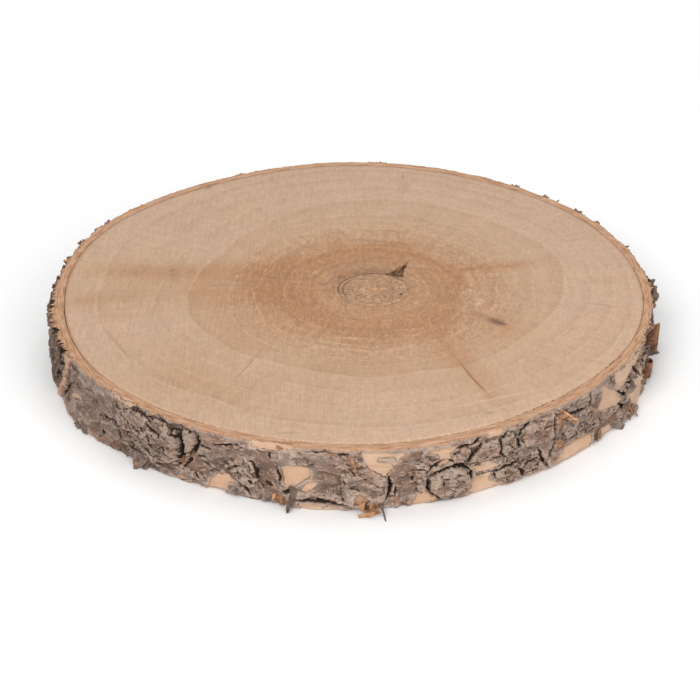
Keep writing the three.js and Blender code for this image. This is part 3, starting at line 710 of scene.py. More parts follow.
def build_wood():
    cols = 720
    # columns crowd round the crack that runs from the heart to the front right
    fine = np.linspace(0, 360, 20001)
    dense = 1.0 + 4.5 * bump(fine, 299.0, 3.0) + 1.2 * bump(fine, 50.0, 10.0) + 0.8 * bump(fine, 241.0, 3.0)
    cum = np.concatenate([[0], np.cumsum((dense[1:] + dense[:-1]) / 2)])
    phi = np.interp(np.arange(cols) / cols * cum[-1], cum, fine)
    a = np.radians(phi)
    # distance from the knot to the bark in each direction
    reach = np.full(cols, 140.0)
    for _ in range(40):
        x, y = KNOT[0] + reach * np.cos(a), KNOT[1] + reach * np.sin(a)
        reach = reach * wood_radius(np.degrees(np.arctan2(y, x)) % 360.0) / np.hypot(x, y)
    near = np.arange(1, 69) * 0.5
    far = 34.0 / 140.0 + (1 - 34.0 / 140.0) * np.linspace(0, 1, 50)[1:]
    ts = []
    for q in near:
        ts.append(q / reach)
    for q in far:
        f0 = 34.0 / reach
        ts.append(f0 + (1 - f0) * (q - 34.0 / 140.0) / (1 - 34.0 / 140.0))
    tt = np.array(ts)
    x = KNOT[0] + tt * reach * np.cos(a)
    y = KNOT[1] + tt * reach * np.sin(a)
    rho = tt * reach
    # last rows lie just inside the edge
    top_rows = len(tt)

    def dips(x, y):
        z = np.zeros(x.shape)
        r = np.hypot(x - KNOT[0], y - KNOT[1])
        ang = np.degrees(np.arctan2(y - KNOT[1], x - KNOT[0])) % 360.0
        edge = 17.3 + 0.5 * np.sin(np.radians(ang * 3 + 40)) + 0.35 * np.sin(np.radians(ang * 7))
        strong = 0.25 + 0.75 * np.maximum(bump(ang, 60, 30), bump(ang, 145, 45)) + 0.3 * bump(ang, 330, 40)
        z -= 0.26 * strong * bump(r, edge, 0.5)
        z -= 0.06 * (r < edge) * (0.5 + 0.5 * np.sin(r * 2.4))
        z -= 1.6 * bump(np.hypot(x - 0.167 * WOOD, (y + 0.047 * WOOD) * 0.8), 0, 0.85)
        z -= 1.0 * bump(np.hypot(x + 0.032 * WOOD, y - 0.086 * WOOD), 0, 1.2)
        z -= 0.5 * bump(np.hypot(x + 0.036 * WOOD, (y + 0.020 * WOOD) * 0.45), 0, 1.0)
        # torn pocket above the knot
        pocket = [(0.104, 0.100), (0.132, 0.113), (0.150, 0.134), (0.166, 0.158), (0.188, 0.182), (0.200, 0.206), (0.194, 0.170), (0.184, 0.132), (0.180, 0.098), (0.178, 0.070), (0.152, 0.080), (0.128, 0.094)]
        p = np.array(pocket) * WOOD
        d, odd = np.full(x.shape, 1e9), np.zeros(x.shape, bool)
        for k in range(len(p)):
            n = (k + 1) % len(p)
            e = p[n] - p[k]
            s = np.clip(((x - p[k, 0]) * e[0] + (y - p[k, 1]) * e[1]) / (e @ e), 0, 1)
            d = np.minimum(d, np.hypot(x - p[k, 0] - s * e[0], y - p[k, 1] - s * e[1]))
            cross = (p[k, 1] > y) != (p[n, 1] > y)
            with np.errstate(divide="ignore", invalid="ignore"):
                odd ^= cross & (x < e[0] * (y - p[k, 1]) / (p[n, 1] - p[k, 1]) + p[k, 0])
        sd = np.where(odd, d, -d)
        bear = np.degrees(np.arctan2(y - 0.04 * WOOD, x - 0.10 * WOOD))
        fibre = np.sin(bear * 0.62) * 0.5 + np.sin(bear * 1.37 + r * 0.5) * 0.35
        hole = step(sd + 0.35 * fibre, -0.35, 0.9)
        z -= hole * (1.3 + 1.1 * fibre)
        crack = np.zeros(x.shape)
        for (x0, y0), (x1, y1), w, mm in (((0.262, -0.300), (0.352, -0.520), 0.20, 0.16), ((0.345, -0.505), (0.402, -0.668), 0.30, 0.75), ((0.402, -0.668), (0.446, -0.745), 0.22, 0.40), ((-0.27, -0.37), (-0.40, -0.70), 0.18, 0.16)):
            ax, ay, bx, by = x0 * WOOD, y0 * WOOD, x1 * WOOD, y1 * WOOD
            ex, ey = bx - ax, by - ay
            s = np.clip(((x - ax) * ex + (y - ay) * ey) / (ex * ex + ey * ey), 0, 1)
            dd = np.hypot(x - ax - s * ex, y - ay - s * ey)
            crack = np.maximum(crack, mm * np.exp(-(dd / w) ** 2) * (0.35 + 0.65 * np.sin(np.pi * np.clip(s, 0.05, 0.95))))
        z -= crack
        return z, np.clip(hole, 0, 1), np.clip(crack / 0.8, 0, 1)

    def stain_at(x, y):
        """0 for clear wood to 1 for the darkest heart."""
        x, y = x / WOOD, y / WOOD
        kx, ky = KNOT[0] / WOOD, KNOT[1] / WOOD
        r = np.hypot(x - kx, y - ky)
        ang = np.degrees(np.arctan2(y - ky, x - kx)) % 360.0
        reach_ = periodic([(0, 0.335), (60, 0.35), (120, 0.36), (180, 0.34), (240, 0.35), (300, 0.385), (360, 0.375), (440, 0.36), (520, 0.36), (580, 0.42), (640, 0.50), (700, 0.48), (760, 0.45), (820, 0.40), (900, 0.38), (960, 0.39), (1040, 0.41), (1120, 0.39), (1180, 0.39), (1230, 0.42), (1280, 0.40), (1340, 0.345), (1400, 0.325)], ang * 4)
        hard = 0.5 + 0.5 * np.cos(np.radians(ang - 60.0))  # crisp at the back right, soft at the front left
        soft = 0.035 + 0.10 * (1 - hard)
        heart = 1.0 - step(r, reach_ - soft, reach_ + soft)
        heart = heart * (0.80 + 0.20 * step(r, 0.20, 0.29))
        out = 0.40 * (1 - step(r, 0.32, 0.66)) + 0.14 * (1 - step(r, 0.55, 1.0))
        out = np.maximum(out, heart)

        def blob(cx, cy, a, b, turn, much):
            c, s_ = math.cos(math.radians(turn)), math.sin(math.radians(turn))
            u, v = (x - cx) * c + (y - cy) * s_, -(x - cx) * s_ + (y - cy) * c
            return much * np.exp(-(u / a) ** 2 - (v / b) ** 2)

        extra = blob(0.50, 0.150, 0.17, 0.030, 13, 0.42) + blob(-0.68, 0.11, 0.30, 0.060, 0, 0.34) + blob(-0.90, -0.10, 0.14, 0.070, 6, 0.24)
        extra = extra + blob(-0.62, -0.02, 0.34, 0.20, 0, 0.30) + blob(-0.45, -0.42, 0.22, 0.16, 40, 0.20) + blob(0.36, -0.50, 0.06, 0.30, 22, 0.26)
        extra = extra + blob(0.0, -0.62, 0.30, 0.10, 0, 0.16) + blob(0.62, -0.42, 0.25, 0.10, -30, 0.14) + blob(0.48, -0.26, 0.12, 0.06, -30, 0.22) + blob(-0.30, 0.62, 0.20, 0.10, 30, 0.10) + blob(-0.50, -0.66, 0.26, 0.13, -20, 0.24) + blob(0.46, -0.60, 0.2, 0.14, 20, 0.12)
        return np.clip(out + extra * (1 - 0.7 * heart), 0, 1)

    # ring number
    x4 = phi * 4
    bound = np.array([periodic(t, x4) for t in RINGS]) / 800.0 * 1.04
    bound[-1] = 1.04
    bound = np.concatenate([np.zeros((1, cols)), bound], 0)
    scallop = 0.0022 * np.sin(np.radians(phi * 9)) + 0.0016 * np.sin(np.radians(phi * 17 + 40)) + 0.0008 * np.sin(np.radians(phi * 31 + 10))
    ring = np.zeros(tt.shape)
    for c in range(cols):
        ring[:, c] = np.interp(tt[:, c] + scallop[c] * min(1.0, 1.0), bound[:, c], np.arange(len(bound)))
    dz, hole, crack = dips(x, y)
    stain = stain_at(x, y)
    edge = np.clip((rho[-1][None] - rho) / 1.2, 0, 1)
    H = THICK + dz
    H[-1] -= 0.25
    co, marks = [], {k: [] for k in ("ring", "stain", "hole", "crack", "inside")}

    def add(px, py, pz, **m):
        co.append(np.stack([px, py, pz], -1).reshape(-1, 3))
        n = px.size
        for k in marks:
            marks[k].append(np.asarray(m.get(k, 0.0)) * np.ones(n) if np.ndim(m.get(k, 0.0)) == 0 else np.asarray(m[k]).ravel())

    add(np.array([KNOT[0]]), np.array([KNOT[1]]), np.array([THICK - 0.02]), inside=140.0, stain=1.0)
    add(x, y, H, ring=ring, stain=stain, hole=hole, crack=crack, inside=wood_radius(np.degrees(np.arctan2(y, x)) % 360.0) - np.hypot(x, y))
    # wall, hidden behind the bark, and the lower sawn face
    wall_z = [THICK - 0.9, THICK - 4.0, 4.0, 0.25]
    for z in wall_z:
        add(x[-1], y[-1], np.full(cols, z), ring=ring[-1], stain=stain[-1], inside=0.0)
    low_rows = [1.0 - k / 15.0 for k in range(15)]
    for n, q in enumerate(low_rows):
        px, py = KNOT[0] + (x[-1] - KNOT[0]) * q * (1 if n else 0.9985), KNOT[1] + (y[-1] - KNOT[1]) * q * (1 if n else 0.9985)
        rr = np.zeros(cols)
        for c in range(cols):
            rr[c] = np.interp(q * 1.0 + scallop[c], bound[:, c], np.arange(len(bound)))
        add(px, py, np.zeros(cols), ring=rr, stain=stain_at(px, py), inside=wood_radius(np.degrees(np.arctan2(py, px)) % 360.0) - np.hypot(px, py))
    add(np.array([KNOT[0]]), np.array([KNOT[1]]), np.array([0.0]), inside=140.0, stain=1.0)
    co = np.concatenate(co)
    rows = top_rows + len(wall_z) + len(low_rows)
    i = np.arange(cols)
    nxt = (i + 1) % cols
    quads, uv = [], []
    zero, last = 0, len(co) - 1

    def flat_top(p):
        return np.stack([0.41 + (p[:, 0]) / 148.0 * 0.405, 0.59 + (p[:, 1]) / 148.0 * 0.405], 1)

    def flat_low(p):
        return np.stack([0.826 - (p[:, 0]) / 148.0 * 0.172, 0.174 + (p[:, 1]) / 148.0 * 0.172], 1)

    def fan(center, base, flip, plan):
        q = np.stack([np.full(cols, center), base + (nxt if flip else i), base + (i if flip else nxt), np.full(cols, -1)], 1)
        quads.append(q)
        uv.append(np.stack([plan(co[q[:, k]]) for k in range(3)], 1).reshape(-1, 2))

    fan(zero, 1, False, flat_top)
    for k in range(rows - 1):
        b, n = 1 + k * cols, 1 + (k + 1) * cols
        q = np.stack([b + i, n + i, n + nxt, b + nxt], 1)
        quads.append(q)
        if k < top_rows - 1:
            uv.append(np.stack([flat_top(co[q[:, m]]) for m in range(4)], 1).reshape(-1, 2))
        elif k < top_rows + len(wall_z):
            z0 = (k - top_rows + 1) / 5.0 * 0.05 + 0.02
            z1 = (k - top_rows + 2) / 5.0 * 0.05 + 0.02
            ua, ub = 0.01 + 0.6 * i / cols, 0.01 + 0.6 * (i + 1) / cols
            uv.append(np.stack([np.stack([ua, z0 + 0 * ua], 1), np.stack([ua, z1 + 0 * ua], 1), np.stack([ub, z1 + 0 * ub], 1), np.stack([ub, z0 + 0 * ub], 1)], 1).reshape(-1, 2))
        else:
            uv.append(np.stack([flat_low(co[q[:, m]]) for m in range(4)], 1).reshape(-1, 2))
    fan(last, 1 + (rows - 1) * cols, True, flat_low)
    return to_mesh("wood_disc", co, np.concatenate(quads), {k: np.concatenate(v) for k, v in marks.items()}, np.concatenate(uv))


# ---------------------------------------------------------------- curled flakes
class Flakes:
    def __init__(self, deg, Z, out):
        self.co, self.quads, self.n = [], [], 0
        self.marks = {"inner": [], "tone": [], "edge": []}
        self.deg, self.Z, self.out = deg, Z, out

    def bark_at(self, t, z):
        c = int(round((t % 360.0) / 360.0 * len(self.deg))) % len(self.deg)
        return float(np.interp(-z, -self.Z[:, c], self.out[:, c]))

    def add(self, t, down, wide, long, way, lift=10.0, curl=4.0, thick=0.5, off=-0.3, tone=0.5, jag=0.25, seed=0, twist=0.0, narrow=0.0, sway=0.0, step_mm=0.55):
        """A flake hinged at t degrees and down thousandths below the face. way is the direction it runs in degrees from level to the right, seen from outside, lift its angle off the bark at the hinge and curl how much more it turns in degrees per mm."""
        r = np.random.default_rng(seed + 7)
        z0 = THICK - down * 0.143
        a = math.radians(t)
        base = float(wood_radius(np.array([t % 360.0]))[0]) + self.bark_at(t, z0) + off
        er, et, ez = np.array([math.cos(a), math.sin(a), 0]), np.array([-math.sin(a), math.cos(a), 0]), np.array([0, 0, 1.0])
        w = math.radians(way)
        b = et * math.cos(w) + ez * math.sin(w)
        h = -et * math.sin(w) + ez * math.cos(w)
        nl, nw = max(3, int(long / step_mm)), max(3, int(wide / step_mm))
        s = np.linspace(0, 1, nl + 1)
        across = np.linspace(-0.5, 0.5, nw + 1)
        ends = 1.0 - jag * r.random(nw + 1) * (0.4 + 0.6 * r.random(nw + 1))
        side_l, side_r = np.cumsum(r.normal(0, 0.11, nl + 1)), np.cumsum(r.normal(0, 0.11, nl + 1))
        ang = np.radians(lift + curl * s * long)
        ds = long / nl
        cx = np.concatenate([[0], np.cumsum(np.cos((ang[1:] + ang[:-1]) / 2) * ds)])
        cy = np.concatenate([[0], np.cumsum(np.sin((ang[1:] + ang[:-1]) / 2) * ds)])
        P = np.zeros((nl + 1, nw + 1, 3))
        N = np.zeros_like(P)
        for m, q in enumerate(across):
            k = ends[m]
            bx, by = np.interp(s * k, s, cx), np.interp(s * k, s, cy)
            aa = np.interp(s * k, s, ang)
            width = wide * (1 - narrow * s) * (1 + side_l * (q < 0) + side_r * (q > 0))
            tw = np.radians(twist) * s
            hh = h[None] * np.cos(tw)[:, None] + er[None] * np.sin(tw)[:, None]
            ripple = 0.10 * wide * np.sin(q * 5.0 + s * 4.0 + seed)
            P[:, m] = er * (base + by[:, None] + ripple[:, None] * 0.35) + ez * z0 + b * bx[:, None] + hh * (q * width)[:, None] + h * (sway * s ** 2)[:, None]
            N[:, m] = er * np.cos(aa)[:, None] - b * np.sin(aa)[:, None]
        self.sheet(P, N, thick, tone, r)

    def scroll(self, t, down, out, axis, length, r0, r1, turns, start=0.0, thick=0.6, tone=0.1, seed=0, jag=0.12, flare=0.0, step_mm=0.5):
        """A rolled strip out mm from the wood. axis is (outwards, round, up), length runs along it and the roll tightens from r0 to r1."""
        r = np.random.default_rng(seed + 7)
        a = math.radians(t)
        er, et, ez = np.array([math.cos(a), math.sin(a), 0]), np.array([-math.sin(a), math.cos(a), 0]), np.array([0, 0, 1.0])
        centre = er * (float(wood_radius(np.array([t % 360.0]))[0]) + out) + ez * (THICK - down * 0.143)
        ax = er * axis[0] + et * axis[1] + ez * axis[2]
        ax = ax / np.linalg.norm(ax)
        e1 = er if abs(ax @ er) < 0.9 else ez
        e1 = e1 - ax * (e1 @ ax)
        e1 = e1 / np.linalg.norm(e1)
        e2 = np.cross(ax, e1)
        arc = 2 * math.pi * turns
        nl, nw = max(8, int(arc * (r0 + r1) / 2 / step_mm)), max(3, int(length / step_mm))
        phi = math.radians(start) + np.linspace(0, arc, nl + 1)
        rad = np.linspace(r0, r1, nl + 1) * (1 + 0.05 * np.sin(phi * 2.3 + seed))
        low, high = np.cumsum(r.normal(0, 0.10, nl + 1)) * jag * 3, np.cumsum(r.normal(0, 0.10, nl + 1)) * jag * 3
        low, high = low + jag * r.random(nl + 1), high + jag * r.random(nl + 1)
        P, N = np.zeros((nl + 1, nw + 1, 3)), np.zeros((nl + 1, nw + 1, 3))
        spoke = np.cos(phi)[:, None] * e1 + np.sin(phi)[:, None] * e2
        for m, q in enumerate(np.linspace(-0.5, 0.5, nw + 1)):
            at = length * (q + np.where(q < 0, -q * 2 * np.clip(low, 0, 0.4), -q * 2 * np.clip(high, 0, 0.4)))
            P[:, m] = centre + ax * at[:, None] + spoke * (rad * (1 + flare * q))[:, None]
            N[:, m] = spoke
        self.sheet(P, N, thick, tone, r)

    def sheet(self, P, N, thick, tone, r):
        """A sheet of the given thickness through points P with outward directions N."""
        nl, nw = P.shape[0] - 1, P.shape[1] - 1
        P = P + r.normal(0, 0.05, P.shape)
        taper = np.ones((nl + 1, nw + 1))
        taper[-1] = 0.25
        taper[:, 0] *= 0.35
        taper[:, -1] *= 0.35
        outer, inner = P + N * (thick / 2 * taper)[..., None], P - N * (thick / 2 * taper)[..., None]
        both = np.concatenate([outer.reshape(-1, 3), inner.reshape(-1, 3)])
        both[:, 2] = np.clip(both[:, 2], 0.05 + 0.02 * r.random(len(both)), THICK + 1.0)
        m = (nl + 1) * (nw + 1)
        idx = np.arange(m).reshape(nl + 1, nw + 1)
        # which way round: outer faces away from the bark
        A, B, C, D = idx[:-1, :-1].ravel(), idx[1:, :-1].ravel(), idx[1:, 1:].ravel(), idx[:-1, 1:].ravel()
        q = [np.stack([A, B, C, D], 1), np.stack([A, D, C, B], 1) + m]
        loop = np.concatenate([idx[0, :-1], idx[:-1, -1], idx[-1, :0:-1], idx[:0:-1, 0]])
        nxt = np.roll(loop, -1)
        q.append(np.stack([loop, nxt, nxt + m, loop + m], 1))
        q = np.concatenate(q)
        tri = both[q[0, [0, 1, 2]]]
        if np.dot(np.cross(tri[1] - tri[0], tri[2] - tri[0]), N[0, 0]) < 0:
            q = q[:, ::-1]
        self.co.append(both)
        self.quads.append(q + self.n)
        self.n += len(both)
        edge = np.zeros((nl + 1, nw + 1))
        edge[-1], edge[:, 0], edge[:, -1] = 1.0, 1.0, 1.0
        edge[-2] = np.maximum(edge[-2], 0.5)
        self.marks["inner"].append(np.concatenate([np.zeros(m), np.ones(m)]))
        self.marks["tone"].append(np.full(2 * m, tone))
        self.marks["edge"].append(np.concatenate([edge.ravel(), edge.ravel()]))

    def mesh(self):
        return to_mesh("bark_curls", np.concatenate(self.co), np.concatenate(self.quads), {k: np.concatenate(v) for k, v in self.marks.items()})


bark, field = build_bark()
wood = build_wood()
fl = Flakes(*field)
# t, down, wide, long, way, then how it lifts and curls
fl.scroll(350.2, 82, 4.8, (0.02, 0.10, 1.0), 18.0, 3.6, 2.4, 1.35, start=215, thick=0.8, tone=1.4, seed=1, jag=0.14, flare=0.07)   # rolled piece on the right
fl.scroll(344.8, 166, 4.6, (0.08, 0.05, 1.0), 9.0, 3.0, 1.8, 1.25, start=200, thick=0.7, tone=1.4, seed=2, jag=0.10)
fl.add(347.4, 138, 5.5, 7.4, 12, lift=66, curl=2.0, thick=1.4, tone=0.55, seed=3, narrow=0.75, jag=0.2, off=1.2)
fl.add(344.2, 124, 6.0, 4.4, -110, lift=38, curl=8.0, thick=1.3, tone=0.55, seed=4, jag=0.4)
fl.add(347.0, 132, 6.0, 4.6, 160, lift=44, curl=6.0, thick=1.5, tone=0.52, seed=56, jag=0.4)
fl.add(353.6, 24, 5.0, 2.8, 100, lift=30, curl=6.0, thick=1.6, tone=0.52, seed=42, jag=0.4, off=-0.8)
fl.add(354.6, 48, 5, 2.8, -60, lift=30, curl=6.0, thick=1.6, tone=0.55, seed=57, jag=0.4, off=-0.8)
fl.add(358.5, 30, 5, 3.0, 80, lift=32, curl=7.0, thick=1.8, tone=0.30, seed=5, jag=0.4, off=-0.8)
fl.add(359.8, 96, 6, 3.4, -50, lift=36, curl=7.0, thick=1.5, tone=0.6, seed=6, jag=0.4, off=-0.8)
fl.add(1.5, 36, 5, 3.2, 110, lift=34, curl=6.0, thick=1.8, tone=0.32, seed=7, jag=0.4, off=-0.8)
fl.add(4.0, 22, 4, 2.6, 70, lift=34, curl=8.0, thick=1.4, tone=0.52, seed=43, jag=0.4, off=-0.8)
fl.add(3.5, 140, 8, 5, -90, lift=34, curl=7.0, thick=0.9, tone=0.7, seed=8, jag=0.4)
fl.add(10.5, 50, 6, 4, 80, lift=36, curl=9.0, thick=0.7, tone=0.6, seed=44, jag=0.4)
fl.add(19.0, 30, 5, 4, 60, lift=40, curl=9.0, thick=0.7, tone=0.5, seed=9, jag=0.4)
fl.add(22.0, 60, 6, 4, 120, lift=36, curl=6.0, thick=0.6, tone=0.6, seed=10, jag=0.4)
fl.add(30.5, 24, 4.0, 4.4, 75, lift=46, curl=8.0, thick=0.7, tone=0.5, seed=11, jag=0.4)
fl.add(36.5, 22, 5.0, 3.8, 95, lift=40, curl=6.0, thick=0.7, tone=0.52, seed=58, jag=0.4)
fl.add(45.5, 22, 7, 4.2, 90, lift=34, curl=6.0, thick=0.7, tone=0.6, seed=12, jag=0.4)
fl.add(43.0, 18, 2.4, 4.8, 140, lift=34, curl=4.0, thick=0.5, tone=0.6, seed=13, narrow=0.7)
fl.add(53.5, 20, 6, 3.6, 85, lift=36, curl=6.0, thick=0.7, tone=0.52, seed=14, jag=0.5)
fl.add(83.5, 14, 5, 2.2, 95, lift=30, curl=4.0, thick=0.5, tone=0.28, seed=15, jag=0.5)
fl.add(150.0, 30, 8, 4.6, 80, lift=26, curl=4.0, thick=0.8, tone=0.6, seed=16, jag=0.4)
fl.add(160.0, 24, 7, 4.0, 95, lift=26, curl=4.0, thick=0.7, tone=0.52, seed=17, jag=0.5)
fl.add(168.0, 26, 6, 4.0, 85, lift=30, curl=4.0, thick=0.7, tone=0.6, seed=18, jag=0.5)
# front, left to right
fl.add(215.0, 182, 6, 4.2, -100, lift=22, curl=5.0, thick=0.8, tone=0.62, seed=20, jag=0.4)
fl.add(213.2, 190, 3.6, 3.0, -110, lift=24, curl=9.0, thick=0.7, tone=0.55, seed=45, jag=0.4)
fl.add(230.2, 168, 11, 8.6, -92, lift=34, curl=0.8, thick=0.7, tone=0.74, seed=21, narrow=0.85, jag=0.06)
fl.add(230.3, 196, 5.5, 4.4, -94, lift=36, curl=0.8, thick=0.6, tone=0.14, seed=67, narrow=0.9, jag=0.15, off=2.0)
fl.add(231.6, 190, 4.5, 4.4, -70, lift=40, curl=3.0, thick=0.5, tone=0.30, seed=46, narrow=0.5, jag=0.2)
fl.add(239.3, 130, 4, 4.5, -80, lift=34, curl=14.0, thick=0.6, tone=0.25, seed=22)
fl.add(241.6, 98, 4, 3.2, -70, lift=26, curl=12.0, thick=0.5, tone=0.25, seed=23)
fl.add(250.2, 176, 7, 4.6, -98, lift=26, curl=4.0, thick=0.6, tone=0.8, seed=47, jag=0.3, narrow=0.3)
fl.add(255.6, 184, 6, 3.4, -90, lift=22, curl=2.0, thick=0.6, tone=0.85, seed=48, jag=0.3)
fl.add(260.4, 146, 5.4, 11.8, -110, lift=28, curl=0.9, thick=2.6, tone=0.46, seed=24, narrow=0.42, jag=0.20, twist=20, sway=1.0)
fl.add(257.9, 172, 2.0, 6.5, -74, lift=30, curl=10.0, thick=0.45, tone=0.10, seed=25, jag=0.7, narrow=0.5)
fl.add(258.4, 188, 1.8, 4.5, -100, lift=34, curl=12.0, thick=0.45, tone=0.08, seed=62, jag=0.7)
fl.add(256.9, 176, 2.0, 4.0, -100, lift=30, curl=10.0, thick=0.45, tone=0.05, seed=49, jag=0.5)
fl.add(258.0, 108, 6, 2.5, 10, lift=45, curl=22.0, thick=0.5, tone=0.28, seed=26)
fl.scroll(272.1, 189, 8.6, (0.62, 0.55, 0.42), 5.0, 2.9, 1.5, 1.25, start=75, thick=0.6, tone=0.04, seed=27, jag=0.3, flare=0.25, step_mm=0.45)
fl.scroll(273.4, 191, 8.0, (0.50, 0.80, 0.22), 4.6, 2.3, 1.6, 0.85, start=120, thick=0.5, tone=0.0, seed=28, jag=0.4, flare=-0.3, step_mm=0.45)
fl.add(271.0, 203, 1.9, 11.0, 13, lift=10, curl=-1.2, thick=0.5, tone=0.03, seed=50, jag=0.7, narrow=0.2, off=6.0)
fl.add(273.0, 198, 2.2, 6.0, 34, lift=6, curl=3.0, thick=0.5, tone=0.08, seed=61, jag=0.5, off=5.5)
fl.add(271.8, 182, 3.0, 4.5, -80, lift=22, curl=2.0, thick=0.5, tone=0.12, seed=59, jag=0.5)
fl.add(274.4, 180, 1.2, 12, -50, lift=52, curl=-1.0, thick=0.7, tone=0.62, seed=29, narrow=0.5, sway=-3.4)
fl.add(258.8, 10, 8, 2.0, -98, lift=10, curl=4.0, thick=0.4, tone=0.10, seed=30, jag=0.6)
fl.add(265.9, 9, 9, 3.2, -104, lift=20, curl=2.0, thick=0.45, tone=0.10, seed=31, jag=0.35)
fl.add(227.0, 8, 10, 2.8, -80, lift=14, curl=2.0, thick=0.4, tone=0.10, seed=51, jag=0.5)
fl.add(269.8, 24, 1.5, 7.0, -74, lift=10, curl=7.0, thick=0.5, tone=0.12, seed=52, jag=0.8)
fl.add(309.0, 22, 3.4, 12.5, -33, lift=9, curl=1.0, thick=0.55, tone=0.12, seed=32, jag=0.3, sway=-1.5, narrow=0.7)
fl.add(309.2, 15, 0.9, 13.0, -31, lift=15, curl=1.0, thick=0.45, tone=0.0, seed=63, jag=0.4, sway=-1.5)
fl.add(309.0, 132, 4.5, 3.0, -30, lift=20, curl=6.0, thick=0.5, tone=0.15, seed=34, narrow=0.5)
fl.add(319.3, 180, 6.0, 4.0, 0, lift=46, curl=20.0, thick=0.6, tone=0.28, seed=35, jag=0.3)
fl.add(325.2, 176, 9, 7.4, -60, lift=26, curl=1.0, thick=0.6, tone=0.75, seed=36, jag=0.12, narrow=0.35)
fl.scroll(330.0, 178, 5.4, (0.25, 0.90, 0.15), 2.0, 2.9, 2.3, 0.88, start=100, thick=0.5, tone=0.22, seed=60, jag=0.2)
fl.add(329.2, 156, 2.6, 8.5, -88, lift=12, curl=5.0, thick=0.55, tone=0.30, seed=37, narrow=0.4, jag=0.5, off=1.0)
fl.add(330.2, 162, 1.7, 8.0, -80, lift=10, curl=5.0, thick=0.5, tone=0.18, seed=38, narrow=0.4, jag=0.4, off=2.0)
fl.add(331.2, 168, 1.5, 6.5, -96, lift=12, curl=6.0, thick=0.5, tone=0.12, seed=53, narrow=0.4, jag=0.4, off=1.5)
fl.add(346.2, 118, 6.0, 5.2, 40, lift=46, curl=8.0, thick=1.5, tone=0.55, seed=64, jag=0.4)
fl.add(345.4, 150, 5.5, 5.5, 165, lift=56, curl=6.0, thick=1.4, tone=0.50, seed=65, jag=0.4)
fl.add(348.8, 124, 5.0, 5.2, -15, lift=52, curl=6.0, thick=1.3, tone=0.55, seed=66, jag=0.4)
fl.add(334.5, 66, 6, 4, -140, lift=30, curl=12.0, thick=0.7, tone=0.85, seed=39, jag=0.4)
fl.add(331.0, 96, 6, 4, -60, lift=28, curl=10.0, thick=0.7, tone=0.7, seed=40, jag=0.4)
fl.add(340.5, 60, 6, 5, 170, lift=30, curl=10.0, thick=0.6, tone=0.7, seed=54, jag=0.4)
fl.add(341.6, 96, 6, 4, -20, lift=30, curl=9.0, thick=0.6, tone=0.55, seed=55, jag=0.4)
# small loose flakes wherever the bark is rough
probe_t, probe_z = rng.uniform(0, 360, 5200), rng.uniform(1.5, 27.5, 5200)
found = bark_field(probe_t[None, :], probe_z[None, :])
keen = (0.10 + 0.90 * np.clip(found["rough"][0], 0, 1) + 0.5 * found["left"][0]) * (found["peach"][0] < -0.3) * (found["out"][0] < 7.6)
chosen = np.nonzero(keen > rng.uniform(0, 1.9, 5200))[0][:640]
for n, c in enumerate(chosen):
    on_left = found["left"][0][c] > 0.5
    big = rng.random() < 0.3
    fl.add(float(probe_t[c]), float((THICK - probe_z[c]) / 0.143), float(rng.uniform(2.2, 4.8) if big else rng.uniform(1.0, 2.6)), float(rng.uniform(1.6, 3.4) if big else rng.uniform(1.0, 2.2)), float(rng.choice([-90, -60, -120, 0, 180, 60]) + rng.normal(0, 22)), lift=float(rng.uniform(3, 20)), curl=float(rng.uniform(0, 7)), thick=float(rng.uniform(0.3, 0.55)), off=-0.25, tone=float(0.30 if rng.random() < 0.10 else rng.uniform(0.42, 1.0)), seed=100 + n, jag=0.5, narrow=float(rng.uniform(-0.2, 0.6)), step_mm=0.8)
curls = fl.mesh()


# ---------------------------------------------------------------- materials
TONE = 0.88  # the studio is this much brighter than the colours below assume


def lin(r, g, b):
    return tuple(((c / 255.0 + 0.055) / 1.055) ** 2.4 if c > 10 else c / 3294.6 for c in (r, g, b)) + (1.0,)


